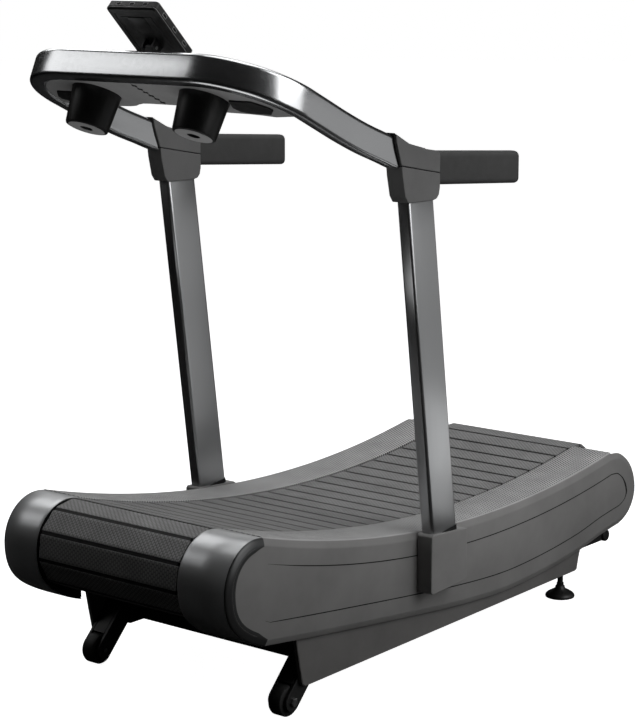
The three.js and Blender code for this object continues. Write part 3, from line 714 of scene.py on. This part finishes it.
def belt_run(name, centre, radius, outward, start, end, slats, groove, node, body):
    """Separate slats with rounded edges over a near-black band with strips that fill the gaps: painted shade
    in the gaps between slats.
    """
    pitch = (end - start) / slats
    half = math.copysign(groove / 2 / radius, pitch)
    vertices = []
    faces = []
    uvs = []
    rounding = 1.6
    ease = math.copysign(rounding / radius, pitch) * 0.3
    side = BELT_HALF_WIDTH
    stations = ((-side + 0.4, 0.5), (-side + 1.8, 0.0), (side - 1.8, 0.0), (side - 0.4, 0.5))
    for k in range(slats):
        a0 = start + pitch * k + half
        a1 = start + pitch * (k + 1) - half
        p0 = Vector(polar(centre, radius, a0))
        p1 = Vector(polar(centre, radius, a1))
        profile = [polar(centre, radius - outward * 12, a0), polar(centre, radius - outward * rounding, a0),
                   polar(centre, radius - outward * rounding * 0.3, a0 + ease)]
        for i in range(9):
            t = 0.015 + 0.97 * i / 8
            middle = p0.lerp(p1, t)
            out = (middle - Vector(centre)).normalized() * outward
            profile.append(tuple(middle + out * (0.5 * math.sin(math.pi * t) - 0.2)))
        profile += [polar(centre, radius - outward * rounding * 0.3, a1 - ease),
                    polar(centre, radius - outward * rounding, a1), polar(centre, radius - outward * 12, a1)]
        core = Vector(polar(centre, radius - outward * 6, (a0 + a1) / 2))
        rings = []
        for x, drop in stations:
            rings.append([(x, *(Vector(p) + (core - Vector(p)).normalized() * drop)) for p in profile])
        part_vertices, part_faces = skin(rings)
        base = len(vertices)
        vertices += part_vertices
        faces += [tuple(i + base for i in f) for f in part_faces]
        length = abs(pitch) * radius
        for x, drop in stations:
            uvs += [(x, length * (k + i / (len(profile) - 1))) for i in range(len(profile))]
    run = piece(name, vertices, faces, "slat_rubber", body=body, replaces=node, uvs=uvs, angle=28)
    # Painted shade: the band under the slats and the strips up into each gap are near-black for the shade
    # there.
    inner = radius - outward * 8.5
    low = radius - outward * 15.5
    steps = slats * 4
    inset = math.copysign(5.0 / radius, pitch)
    top = arc(centre, inner, start + inset, end - inset, steps)
    under = arc(centre, low, end - inset, start + inset, steps)
    outlines = [top + under]
    face = radius - outward * 1.0
    for k in range(1, slats):
        a0 = start + pitch * k - half
        a1 = start + pitch * k + half
        outlines.append([polar(centre, face, a0), polar(centre, face, a1), polar(centre, inner, a1),
                         polar(centre, inner, a0)])
    strips = [prism(outline, -BELT_HALF_WIDTH + 3, BELT_HALF_WIDTH - 3) for outline in outlines]
    piece(f"{name}_carrier", *merge(*strips), "slat_carrier", body=body, slot="slat_rubber")
    return run


def belts():
    def angle_to(centre, y):
        return math.atan2(deck_z(y) - centre[1], y - centre[0])
    top = (angle_to(DECK_CENTRE, FIRST_GAP_Y), angle_to(DECK_CENTRE, LAST_GAP_Y))
    belt_run("running_slats", DECK_CENTRE, DECK_RADIUS, -1, *top, SLAT_COUNT, 10.0,
             "belt_top_run", "top_run")
    front = angle_to(FRONT_NOSE, FIRST_GAP_Y)
    rear = angle_to(REAR_NOSE, LAST_GAP_Y)
    belt_run("front_wrap_slats", FRONT_NOSE, NOSE_RADIUS - 0.6, 1, front, front + math.pi, WRAP_SLATS, 9.0,
             "belt_front_wrap", "front_roller")
    belt_run("rear_wrap_slats", REAR_NOSE, NOSE_RADIUS - 0.6, 1, rear, rear - math.pi, WRAP_SLATS, 9.0,
             "belt_rear_wrap", "rear_roller")
    a = Vector(polar(FRONT_NOSE, NOSE_RADIUS, front + math.pi))
    b = Vector(polar(REAR_NOSE, NOSE_RADIUS, rear - math.pi))
    chord = (b - a).length
    radius = chord ** 2 / (8 * RETURN_SAG) + RETURN_SAG / 2
    upward = Vector((a.y - b.y, b.x - a.x)).normalized()
    centre = (a + b) / 2 + upward * (radius - RETURN_SAG)
    start = math.atan2(a.y - centre.y, a.x - centre.x)
    end = math.atan2(b.y - centre.y, b.x - centre.x)
    belt_run("return_slats", tuple(centre), radius, 1, start, end, SLAT_COUNT, 5.0,
             "belt_return_run", "return_run")


def drums():
    rim = NOSE_RADIUS - 1 - BELT_THICKNESS - 5
    for name, nose in (("front", FRONT_NOSE), ("rear", REAR_NOSE)):
        profile = []
        for sign in (1, -1):
            half = [(24, 160), (24, 199), (rim - 6, 199), (rim - 6, 165), (rim - 5, 164.4), (rim - 1, 164.4),
                    (rim, 165.4), (rim, 204), (rim - 1, 205), (16, 205), (15, 204), (15, 200)]
            profile += half if sign == 1 else [(r, -x) for r, x in reversed(half)]
        drum = lathe(profile, 64, (0.0, *nose), "X", closed=True)
        piece(f"{name}_pulleys", *drum, "steel", body=f"{name}_roller", replaces=f"{name}_drum", angle=40)
        bar = [(0, -300), (11, -300), (12, -299), (12, 299), (11, 300), (0, 300)]
        axle = lathe(bar, 32, (0.0, *nose), "X")
        piece(f"{name}_axle_bar", *axle, "steel", replaces=f"{name}_axle", angle=40)


def bearing_rails():
    section = [(196, 22), (204, 22), (204, 60), (196, 60)]
    rail = band(deck_path(-620, 620, 60), section)
    ring = [(3, 204.2), (9, 204.2), (9, 204.6), (8.9, 211.4), (8.4, 212), (3, 212)]
    pin = [(0, 204), (2.8, 204), (2.8, 212.6), (0, 212.8)]
    bearings = []
    for i in range(12):
        y = -580 + 1160 * i / 11
        place = (0.0, y, deck_z(y) - BELT_THICKNESS - 11)
        bearings.append(lathe(ring, 24, place, "X", closed=True))
        bearings.append(lathe(pin, 12, place, "X"))
    both("slat_bearing_rail", *rail, "steel", replaces="bearing_rail", bevel=0.8)
    both("slat_bearings", *merge(*bearings), "steel")


# ---------- posts and brackets ----------
def leaning(outline):
    """Rings of a post section at heights along its leaning axis."""
    turn = Matrix.Rotation(POST_LEAN, 3, "X")
    return [tuple(turn @ Vector(p) + Vector(POST_FOOT)) for p in outline]


def posts():
    rings = []
    for inset, height in ((1.2, -134), (0, -132.5), (0, 200), (0, 500), (0, 870.5), (1.2, 872)):
        ring = rounded_rectangle(POST_SIZE[0] - 2 * inset, POST_SIZE[1] - 2 * inset, 8 - inset, 8)
        rings.append(leaning([(x, y, height) for x, y in ring]))
    both("post_tube", *skin(rings), "post_silver", slot="tube_silver", replaces="post", angle=40)
    boot = [(-168, 207), (-165, 202), (-159, 200), (-26, 205.6), (-20, 208), (-18, 214), (-18, 338),
            (-60, 343), (-163, 350), (-168, 345)]
    both("boot_cover", *prism(boot, 355.4, 400), "grey_casing", replaces="post_boot", bevel=3.0, segments=3)
    # Painted shade: a near-black ring where each post enters its boot.
    around = rounded_rectangle(38.4, 104, 8, 6)
    gasket = [leaning([(x, y, height) for x, y in around]) for height in (-8, 2.6)]
    both("boot_joint_shade", *skin(gasket), "gap_black", slot="grey_casing")


LOWER_SHELL = [(-274, 1165), (-264, 1164), (-172, 1163), (-160, 1166), (-152, 1174), (-148, 1190),
               (-148, 1224.4), (-221, 1237.6), (-299, 1251.6), (-296, 1228), (-285, 1180)]
UPPER_SHELL = [(-148, 1225.8), (-148, 1268), (-154, 1277.5), (-209, 1286), (-262, 1298.5), (-304, 1319),
               (-322, 1328), (-320, 1311), (-313, 1290), (-300, 1253.6), (-221, 1239)]


def brackets():
    for name, outline, node in (("bracket_shell", LOWER_SHELL, "post_bracket"),
                                ("sleeve_shell", UPPER_SHELL, "bar_sleeve")):
        both(name, *prism(outline, 352, 399), "grey_plastic", replaces=node, bevel=2.4, segments=3)
    # Painted shade: a near-black line in the seam between the two shells.
    seam = [(-150, 1222), (-150, 1228), (-221, 1241), (-298, 1255.4), (-298, 1249.6), (-221, 1235.4)]
    both("bracket_seam", *prism(seam, 354, 397), "gap_black", slot="grey_plastic")
    # Painted shade: a near-black lining in the mouth where the handlebar enters the sleeve.
    mouth = [(-322.5, 1329), (-328, 1330), (-325, 1309), (-317, 1284), (-303, 1250), (-299, 1251),
             (-312, 1284), (-320, 1309)]
    both("sleeve_mouth_shade", *prism(mouth, 353.6, 396.6), "gap_black", slot="grey_plastic", bevel=0.5)


def grips():
    slope = math.tan(math.radians(-4.1))
    end = [(8, 0), (3.0, 1.0), (0.8, 3.6), (0, 8)]
    stations = end + [(0, 120.0), (0, 240.0)] + [(inset, 347 - along) for inset, along in reversed(end)]
    rings = []
    for inset, along in stations:
        ring = rounded_rectangle(38 - 2 * inset, 80 - 2 * inset, max(14 - inset, 3), 6)
        rings.append([(BAR_X + x, -150 + along, 1236.5 + h + along * slope) for x, h in ring])
    both("grip_sleeve", *skin(rings), "grip_rubber", replaces="grip", angle=45)


# ---------- handlebar ----------
def bar_path():
    """Middle line of the handlebar with its upward direction at each point."""
    side = [(-200, 1252.5), (-262, 1267.5), (-305, 1281.5), (-350, 1298), (-422, 1323.5), (-496, 1354),
            (-560, 1383), LOOP_START]
    curve = spline(side, 56)
    across = Vector((1.0, 0.0, 0.0))
    forward = Vector((0.0, -math.cos(LOOP_TILT), math.sin(LOOP_TILT)))
    frames = []
    for i, (y, z) in enumerate(curve):
        before = curve[max(i - 1, 0)]
        after = curve[min(i + 1, len(curve) - 1)]
        along = Vector((0.0, after[0] - before[0], after[1] - before[1])).normalized()
        if i == len(curve) - 1:
            along = forward
        frames.append((Vector((BAR_X, y, z)), across, along.cross(across) * -1))
    up = Vector((0.0, math.sin(LOOP_TILT), math.cos(LOOP_TILT)))
    middle = Vector((BAR_X - LOOP_CORNER, *LOOP_START))
    for i in range(1, 25):
        angle = math.pi / 2 * i / 24
        out = Vector((math.cos(angle), 0.0, 0.0)) + forward * math.sin(angle)
        frames.append((middle + out * LOOP_CORNER, out, up))
    tip = frames[-1]
    for i in range(1, 7):
        frames.append((tip[0] - Vector(((BAR_X - LOOP_CORNER) * i / 6, 0.0, 0.0)), tip[1], up))
    mirror = Matrix.Diagonal((-1, 1, 1))
    other = [(mirror @ p, mirror @ out, up_) for p, out, up_ in reversed(frames[:-1])]
    return frames + other


def handlebar():
    section = rounded_rectangle(*BAR_SIZE, 11, 6)
    rings = []
    for point, out, up in bar_path():
        up = up if up.z > 0 else -up
        rings.append([tuple(point + out * a + up * b) for a, b in section])
    piece("handlebar_tube", *skin(rings), "tube_silver", replaces="handlebar", angle=50)


# ---------- console ----------
def tray_outline(inset=0.0):
    reach = LOOP_CORNER - BAR_SIZE[0] / 2 - 0.6 - inset
    corner = BAR_X - LOOP_CORNER
    points = arc((corner, 0.0), reach, -math.pi / 2, 0.0, 16)
    side = points[-1][0]
    wing = [(side, 4), (292, 16), (262, 10), (225, 6), (170, 5), (135, 2), (112, -4), (95, -14), (74, -22),
            (50, -24)]
    right = points + [(x, y - inset) for x, y in wing]
    left = [(-x, y) for x, y in reversed(right)]
    return right + left


def tray():
    rings = []
    for inset, z in ((4, -30), (1, -29), (0, -27), (0, -21), (1.2, -20)):
        rings.append([(x, y, z) for x, y in tray_outline(inset)])
    # Painted light: the tray panel is a light grey that stands in for light from below.
    tray_object = piece("tray_panel", *in_console(skin(rings)), "tray_plastic", slot="black_plastic",
                        replaces="console_tray", angle=40)
    for side in (-1, 1):
        cut_hole(tray_object, side)
    # Painted shade: near-black lines in the tray's seams.
    seam = [block(1.2, 3.4, -156, -32, -30.6, -29.4)]
    for k in range(6):
        seam.append(block(-4.5, 9.0, -146 + 20 * k, -140 + 20 * k, -30.6, -29.4))
    piece("tray_seam", *in_console(merge(*seam)), "gap_black", slot="black_plastic")
    wing = [(212, -42), (232, -84), (296, -84), (322, -52), (324, -38), (300, -12), (240, -13), (218, -20)]
    for side, sign in (("left", 1), ("right", -1)):
        plate = skin([[(sign * x, y, z) for x, y in wing] for z in (-34, -29)])
        piece(f"tray_wing_{side}", *in_console(plate), "black_plastic", bevel=1.5)


def cut_hole(obj, side):
    """Takes the cup's round hole out of the tray."""
    tool_mesh = bpy.data.meshes.new("hole_tool")
    plug = lathe([(0, -60), (58.4, -60), (58.4, 20), (0, 20)], 64, (side * CUP_X, CUP_Y, 0.0))
    vertices, faces = in_console(plug)
    tool_mesh.from_pydata([Vector(v) * MM for v in vertices], [], faces)
    work = bmesh.new()
    work.from_mesh(tool_mesh)
    bmesh.ops.remove_doubles(work, verts=work.verts, dist=1e-6)
    bmesh.ops.recalc_face_normals(work, faces=work.faces)
    work.to_mesh(tool_mesh)
    work.free()
    tool = bpy.data.objects.new("hole_tool", tool_mesh)
    bpy.context.scene.collection.objects.link(tool)
    modifier = obj.modifiers.new("hole", "BOOLEAN")
    modifier.operation = "DIFFERENCE"
    modifier.object = tool
    modifier.solver = "EXACT"
    for other in bpy.context.selected_objects:
        other.select_set(False)
    obj.select_set(True)
    bpy.context.view_layer.objects.active = obj
    bpy.ops.object.modifier_apply(modifier="hole")
    bpy.data.objects.remove(tool)


def cups():
    profile = [(16, -118), (45, -118), (49, -116.6), (50.4, -113), (57.4, -30), (58, -22), (58.4, -19.4),
               (64.6, -19.4), (66, -18), (66, -16.4), (64.6, -15), (56, -15), (54.4, -17), (46.6, -111),
               (44, -113), (16, -113)]
    disc = [(15, -118.5), (43, -118.5), (43, -117.8), (15, -117.8)]
    for side, x in (("left", CUP_X), ("right", -CUP_X)):
        cup = in_console(lathe(profile, 64, (x, CUP_Y, 0.0), closed=True))
        piece(f"cup_{side}", *cup, "black_gloss", replaces=f"cup_holder_{side}", angle=40)
        # Painted light: a light grey disc on each cup's bottom stands in for light from below.
        base = in_console(lathe(disc, 48, (x, CUP_Y, 0.0), closed=True))
        piece(f"cup_bottom_painted_light_{side}", *base, "tray_plastic", slot="black_gloss", angle=40)


def monitor_rings(levels, grow=0.0):
    """Rounded rectangles of the monitor's outline: how far each is inset, and its height."""
    width, length = (2 * (half + grow) for half in MONITOR_HALF)
    rings = []
    for inset, z in levels:
        ring = rounded_rectangle(width - 2 * inset, length - 2 * inset, max(9 - inset, 2), 5)
        rings.append([(x, y, z) for x, y in ring])
    return rings


def monitor():
    rim = monitor_rings([(2.4, -7), (0, -5), (0, 8.6), (2.2, 11), (9.5, 11), (11.5, 9)])
    piece("monitor_frame", *in_monitor(skin(rim)), "monitor_black", body="monitor", slot="silver_cap",
          replaces="monitor_bezel", angle=40)
    screen = []
    for inset, z in ((0, 8.6), (0, 11.2), (0.8, 11.5)):
        ring = rounded_rectangle(116 - 2 * inset, 101 - 2 * inset, 4, 4)
        screen.append([(x, y - 12.5, z) for x, y in ring])
    piece("monitor_window", *in_monitor(skin(screen)), "screen_glass", body="monitor",
          replaces="monitor_screen")
    back = [(1, -7.2), (0, -8), (0, -10), (3.5, -13), (16, -13), (17, -12), (27, -12), (28, -13)]
    shell = skin(monitor_rings(back))
    lug = [(14, -12), (17, -30), (20, -35), (26, -37.5), (34, -37.5), (40, -34), (44, -27), (46, -12)]
    lugs = [prism(lug, x, x + 6) for x in (12, -18)]
    piece("monitor_shell", *in_monitor(merge(shell, *lugs)), "monitor_black", body="monitor",
          slot="black_gloss", replaces="monitor_back", bevel=0.6)
    # Painted highlight: thin light bands round the monitor stand for the highlights along its edges.
    for name, z in (("back", -7.4), ("front", 8.8)):
        line = skin(monitor_rings([(0, z - 0.5), (0, z + 0.5)], grow=0.25))
        piece(f"monitor_{name}_line", *in_monitor(line), "monitor_line", body="monitor",
              slot="black_plastic")
    cover = []
    for inset, z in ((0, -12), (0, -13.2), (0.8, -13.8)):
        ring = rounded_rectangle(51.4 - 2 * inset, 53.4 - 2 * inset, 3, 3)
        cover.append([(x, y - 25, z) for x, y in ring])
    piece("battery_lid", *in_monitor(skin(cover)), "monitor_black", body="battery_hatch",
          slot="black_gloss", replaces="battery_cover")
    for name, x in (("start", -32), ("select", 0), ("stop", 32)):
        cap = lathe([(0, 5), (6.4, 5), (6.5, 12.2), (5.8, 13), (0, 13.4)], 32, (x, 57.0, 0.0))
        piece(f"{name}_key", *in_monitor(cap), "button_grey", body=f"{name}_button", slot="black_plastic",
              replaces=f"button_{name}", angle=40)
    w, length = MONITOR_HALF
    # Painted shade fills each slot, and a painted highlight rims it.
    for name, material, grow, proud in (("monitor_slots", "gap_black", 0.0, 0.45),
                                        ("monitor_slot_glints", "monitor_line", 1.2, 0.25)):
        half, low, high = 6 + grow, -2 - grow, 4 + grow
        parts = []
        for k in (-1, 0, 1):
            parts.append(block(k * 40 - half, k * 40 + half, -length - proud, -length + 2, low, high))
            parts.append(block(w - 2, w + proud, k * 44 - half, k * 44 + half, low, high))
            parts.append(block(-w - proud, -w + 2, k * 44 - half, k * 44 + half, low, high))
        piece(name, *in_monitor(merge(*parts)), material, body="monitor", slot="silver_cap")


def monitor_stand():
    c, s = math.cos(MONITOR_TILT), math.sin(MONITOR_TILT)
    y = MONITOR_CENTRE[1] + 30 * c - 27 * s
    z = MONITOR_CENTRE[2] - 30 * s - 27 * c
    foot = in_console(block(-32, 32, -122, -58, -19.7, -14))
    neck = block(-11.5, 11.5, y - 9, y + 9, 1436, z)
    knuckle = lathe([(0, -11.5), (9, -11.5), (9, 11.5), (0, 11.5)], 32, (0.0, y, z), "X")
    pin = lathe([(0, -19), (3.6, -19), (4, -18.6), (4, 18.6), (3.6, 19), (0, 19)], 24, (0.0, y, z), "X")
    piece("stand_body", *merge(foot, neck, knuckle), "black_plastic", replaces="monitor_stand", bevel=1.2)
    piece("stand_pin", *pin, "steel", angle=40)


# ---------- wheels, feet, handle and frame ----------
def hexagon(centre, radius):
    return [polar(centre, radius, math.pi * k / 3) for k in range(6)]


def wheels():
    centre = (0.0, *WHEEL_CENTRE)
    tyre = [(15, 282), (32, 282), (35, 283), (37, 286.5), (37, 314), (35, 317.4), (32, 318.4), (15, 318.4)]
    both("wheel_tyre", *lathe(tyre, 48, centre, "X", closed=True), "tyre", body="wheel", slot="grip_rubber",
         replaces="wheel", angle=40)
    hub = [(6.4, 283), (14.6, 283), (15.2, 284), (15.2, 316.4), (14.6, 317.4), (6.4, 317.4)]
    both("wheel_hub", *lathe(hub, 48, centre, "X", closed=True), "black_plastic", body="wheel", angle=40)
    end = arc(WHEEL_CENTRE, 24, math.radians(136), math.radians(316), 16)
    slot = arc(WHEEL_CENTRE, 40.5, math.radians(82.5), math.radians(9.8), 16)
    top = [(-521, 95), (-521, 139), (-549, 139), (-555, 129)]
    arm = merge(prism(top + end, 319.6, 328.4), prism(top + end, 272, 280.8), prism(top + slot, 280.8, 319.6))
    both("wheel_bracket", *arm, "painted_frame", replaces="wheel_arm", bevel=1.5)
    rings = []
    for x, radius in ((328.7, 11.0), (334.0, 11.0), (335.4, 9.8)):
        rings.append([(x, y, z) for y, z in hexagon(WHEEL_CENTRE, radius)])
    shaft = lathe([(0, 270), (5.6, 270), (6, 271), (6, 329), (0, 329)], 24, centre, "X")
    both("wheel_axle_bolt", *merge(skin(rings), shaft), "steel", replaces="wheel_bolt", angle=25)


def feet():
    x, y = FOOT_PLACE
    profile = [(0, 0), (37, 0), (39.4, 1), (40, 4), (39, 8), (35, 12), (25, 18), (17, 22), (13.2, 26),
               (12.6, 31), (9.6, 33), (9.6, 40), (8, 41)]
    thread = [(8.0 if k % 2 else 7.1, 42 + 2 * k) for k in range(39)] + [(0, 120)]
    for side, sign in (("left", 1), ("right", -1)):
        foot = lathe(profile + thread, 48, (x * sign, y, 0.0))
        piece(f"levelling_foot_{side}", *foot, "black_plastic", body=f"foot_{side}",
              replaces=f"rear_foot_{side}", angle=50)
        rings = []
        for inset, z in ((1.2, 70.8), (0, 72), (0, 82.5), (1.2, 83.6)):
            rings.append([(a, b, z) for a, b in hexagon((x * sign, y), 15 - inset)])
        piece(f"lock_nut_{side}", *skin(rings), "steel", replaces=f"foot_nut_{side}", angle=25)


def lift_handle():
    tube = [(0, -306), (13, -306), (15.8, -305), (17, -302), (17, 302), (15.8, 305), (13, 306), (0, 306)]
    plug = [(0, 306.2), (12, 306.2), (12.6, 305.4), (0, 305.4)]
    bar = lathe(tube, 32, LIFT_CENTRE, "X")
    legs = [block(x, x + 20, 600.4, 799, 113, 139) for x in (279, -299)]
    piece("lift_handle_bar", *merge(bar, *legs), "painted_frame", replaces="lift_handle", bevel=1.5, angle=40)
    plugs = [lathe([(r, x * sign) for r, x in plug], 32, LIFT_CENTRE, "X") for sign in (1, -1)]
    piece("lift_handle_plugs", *merge(*plugs), "black_plastic", slot="painted_frame", angle=40)


def frame_nodes():
    """Frame members keep their CAD shape and get the black paint."""
    painted = ["base_rail_left", "base_rail_right", "base_cross_front", "base_cross_rear", "side_frame_left",
               "side_frame_right", "deck_cross_front", "deck_cross_mid", "deck_cross_rear"]
    for name in painted:
        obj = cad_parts[name]
        obj.data.materials.clear()
        obj.data.materials.append(MATERIALS["painted_frame"])


# ---------- floor, light and camera, in metres ----------
DOME_RADIUS = 29.0


def area_light(name, place, aim, size, brightness):
    """A soft panel. brightness is the radiance of its face."""
    data = bpy.data.lights.new(name, "AREA")
    data.shape = "RECTANGLE"
    data.size, data.size_y = size
    data.energy = brightness * math.pi * size[0] * size[1]
    obj = bpy.data.objects.new(name, data)
    bpy.context.scene.collection.objects.link(obj)
    obj.location = place
    obj.rotation_euler = (Vector(aim) - Vector(place)).to_track_quat("-Z", "Y").to_euler()
    obj.visible_camera = False
    return obj


def flat_object(name, vertices, faces, material, seen_by_camera):
    """A floor or backdrop, seen either by the camera only or by everything else."""
    mesh = bpy.data.meshes.new(name)
    mesh.from_pydata(vertices, [], faces)
    mesh.materials.append(material)
    obj = bpy.data.objects.new(name, mesh)
    bpy.context.scene.collection.objects.link(obj)
    obj.visible_camera = seen_by_camera
    obj.visible_diffuse = not seen_by_camera
    obj.visible_glossy = not seen_by_camera
    obj.visible_transmission = not seen_by_camera
    return obj


def floor_and_backdrop():
    half = 30.0
    square = [(-half, -half), (half, -half), (half, half), (-half, half)]
    pale = Nodes("pale_floor")
    pale.colour(pale.ramp(pale.noise(3.0), grey(0.62), grey(0.66)))
    pale.shader.inputs["Roughness"].default_value = 0.9
    pale.shader.inputs["Emission Color"].default_value = grey(1.0)
    pale.shader.inputs["Emission Strength"].default_value = 1.0
    flat_object("floor", [(x, y, 0) for x, y in square], [(0, 1, 2, 3)], pale.material, True)
    dim = Nodes("floor_bounce")
    dim.colour(dim.ramp(dim.noise(3.0), grey(0.025), grey(0.03)))
    dim.shader.inputs["Roughness"].default_value = 0.9
    flat_object("floor_bounce", [(x, y, -0.002) for x, y in square], [(0, 1, 2, 3)], dim.material, False)
    glow = Nodes("backdrop_white")
    glow.colour(glow.ramp(glow.noise(1.0), grey(0.0), grey(0.0)))
    glow.shader.inputs["Emission Color"].default_value = grey(1.0)
    glow.shader.inputs["Emission Strength"].default_value = 1.0
    rings = []
    for lift in (0, 8, 16, 26, 40, 58, 80):
        radius = DOME_RADIUS * math.cos(math.radians(lift))
        height = DOME_RADIUS * math.sin(math.radians(lift)) - 0.01
        rings.append([(*polar((0.0, 0.0), radius, 2 * math.pi * k / 48), height) for k in range(48)])
    vertices, faces = skin(rings, caps=(False, True))
    dome = flat_object("backdrop", vertices, faces, glow.material, True)
    dome.visible_shadow = False


def studio():
    scene = bpy.context.scene
    floor_and_backdrop()
    world = bpy.data.worlds.new("studio")
    scene.world = world
    world.use_nodes = True
    world.node_tree.nodes["Background"].inputs["Color"].default_value = (1.0, 1.0, 1.0, 1.0)
    world.node_tree.nodes["Background"].inputs["Strength"].default_value = 0.008

    area_light("front_left_panel", (-3.4, -2.5, 3.36), (0.0, -0.8, 1.45), (2.2, 1.6), 1.3)
    area_light("right_panel", (4.2, 0.44, 1.62), (0.35, -0.6, 1.4), (2.6, 2.0), 1.4)
    area_light("right_rear_panel", (1.4, 1.15, 0.76), (0.37, -0.15, 0.76), (1.6, 1.5), 0.34)
    area_light("right_low_panel", (0.74, 0.37, 0.34), (0.39, -0.12, 0.48), (0.3, 0.42), 0.55)
    area_light("right_top_panel", (3.6, 0.7, 3.4), (0.2, 0.0, 0.4), (3.0, 3.0), 2.4)
    area_light("left_top_panel", (-2.4, 0.3, 3.3), (0.0, -0.6, 0.4), (1.8, 1.8), 2.4)
    area_light("rear_left_panel", (-3.2, 3.4, 2.6), (0.0, 0.0, 0.5), (3.0, 2.4), 0.7)
    area_light("top_panel", (0.0, 0.2, 4.4), (0.0, 0.0, 0.4), (2.6, 3.4), 2.0)
    area_light("console_panel", (0.1, -1.0, 0.86), (0.0, -0.8, 2.0), (0.7, 0.5), 0.9)

    camera = bpy.data.objects.new("camera", bpy.data.cameras.new("camera"))
    scene.collection.objects.link(camera)
    camera.data.sensor_width = 36.0
    camera.data.lens = 107.94
    camera.data.clip_end = 100.0
    camera.location = (3.334, -4.2664, 1.743)
    yaw, pitch = math.radians(38.74), math.radians(10.81)
    aim = Vector((-math.sin(yaw) * math.cos(pitch), math.cos(yaw) * math.cos(pitch), -math.sin(pitch)))
    camera.rotation_euler = aim.to_track_quat("-Z", "Y").to_euler()
    scene.camera = camera
    scene.view_settings.view_transform = "Standard"
    scene.view_settings.look = "None"
    scene.view_settings.exposure = 0.0


casings()
casing_grooves()
nose_bevels()
casing_slots()
treads()
front_caps()
skirts()
belts()
drums()
bearing_rails()
posts()
brackets()
grips()
handlebar()
tray()
cups()
monitor()
monitor_stand()
wheels()
feet()
lift_handle()
frame_nodes()
studio()
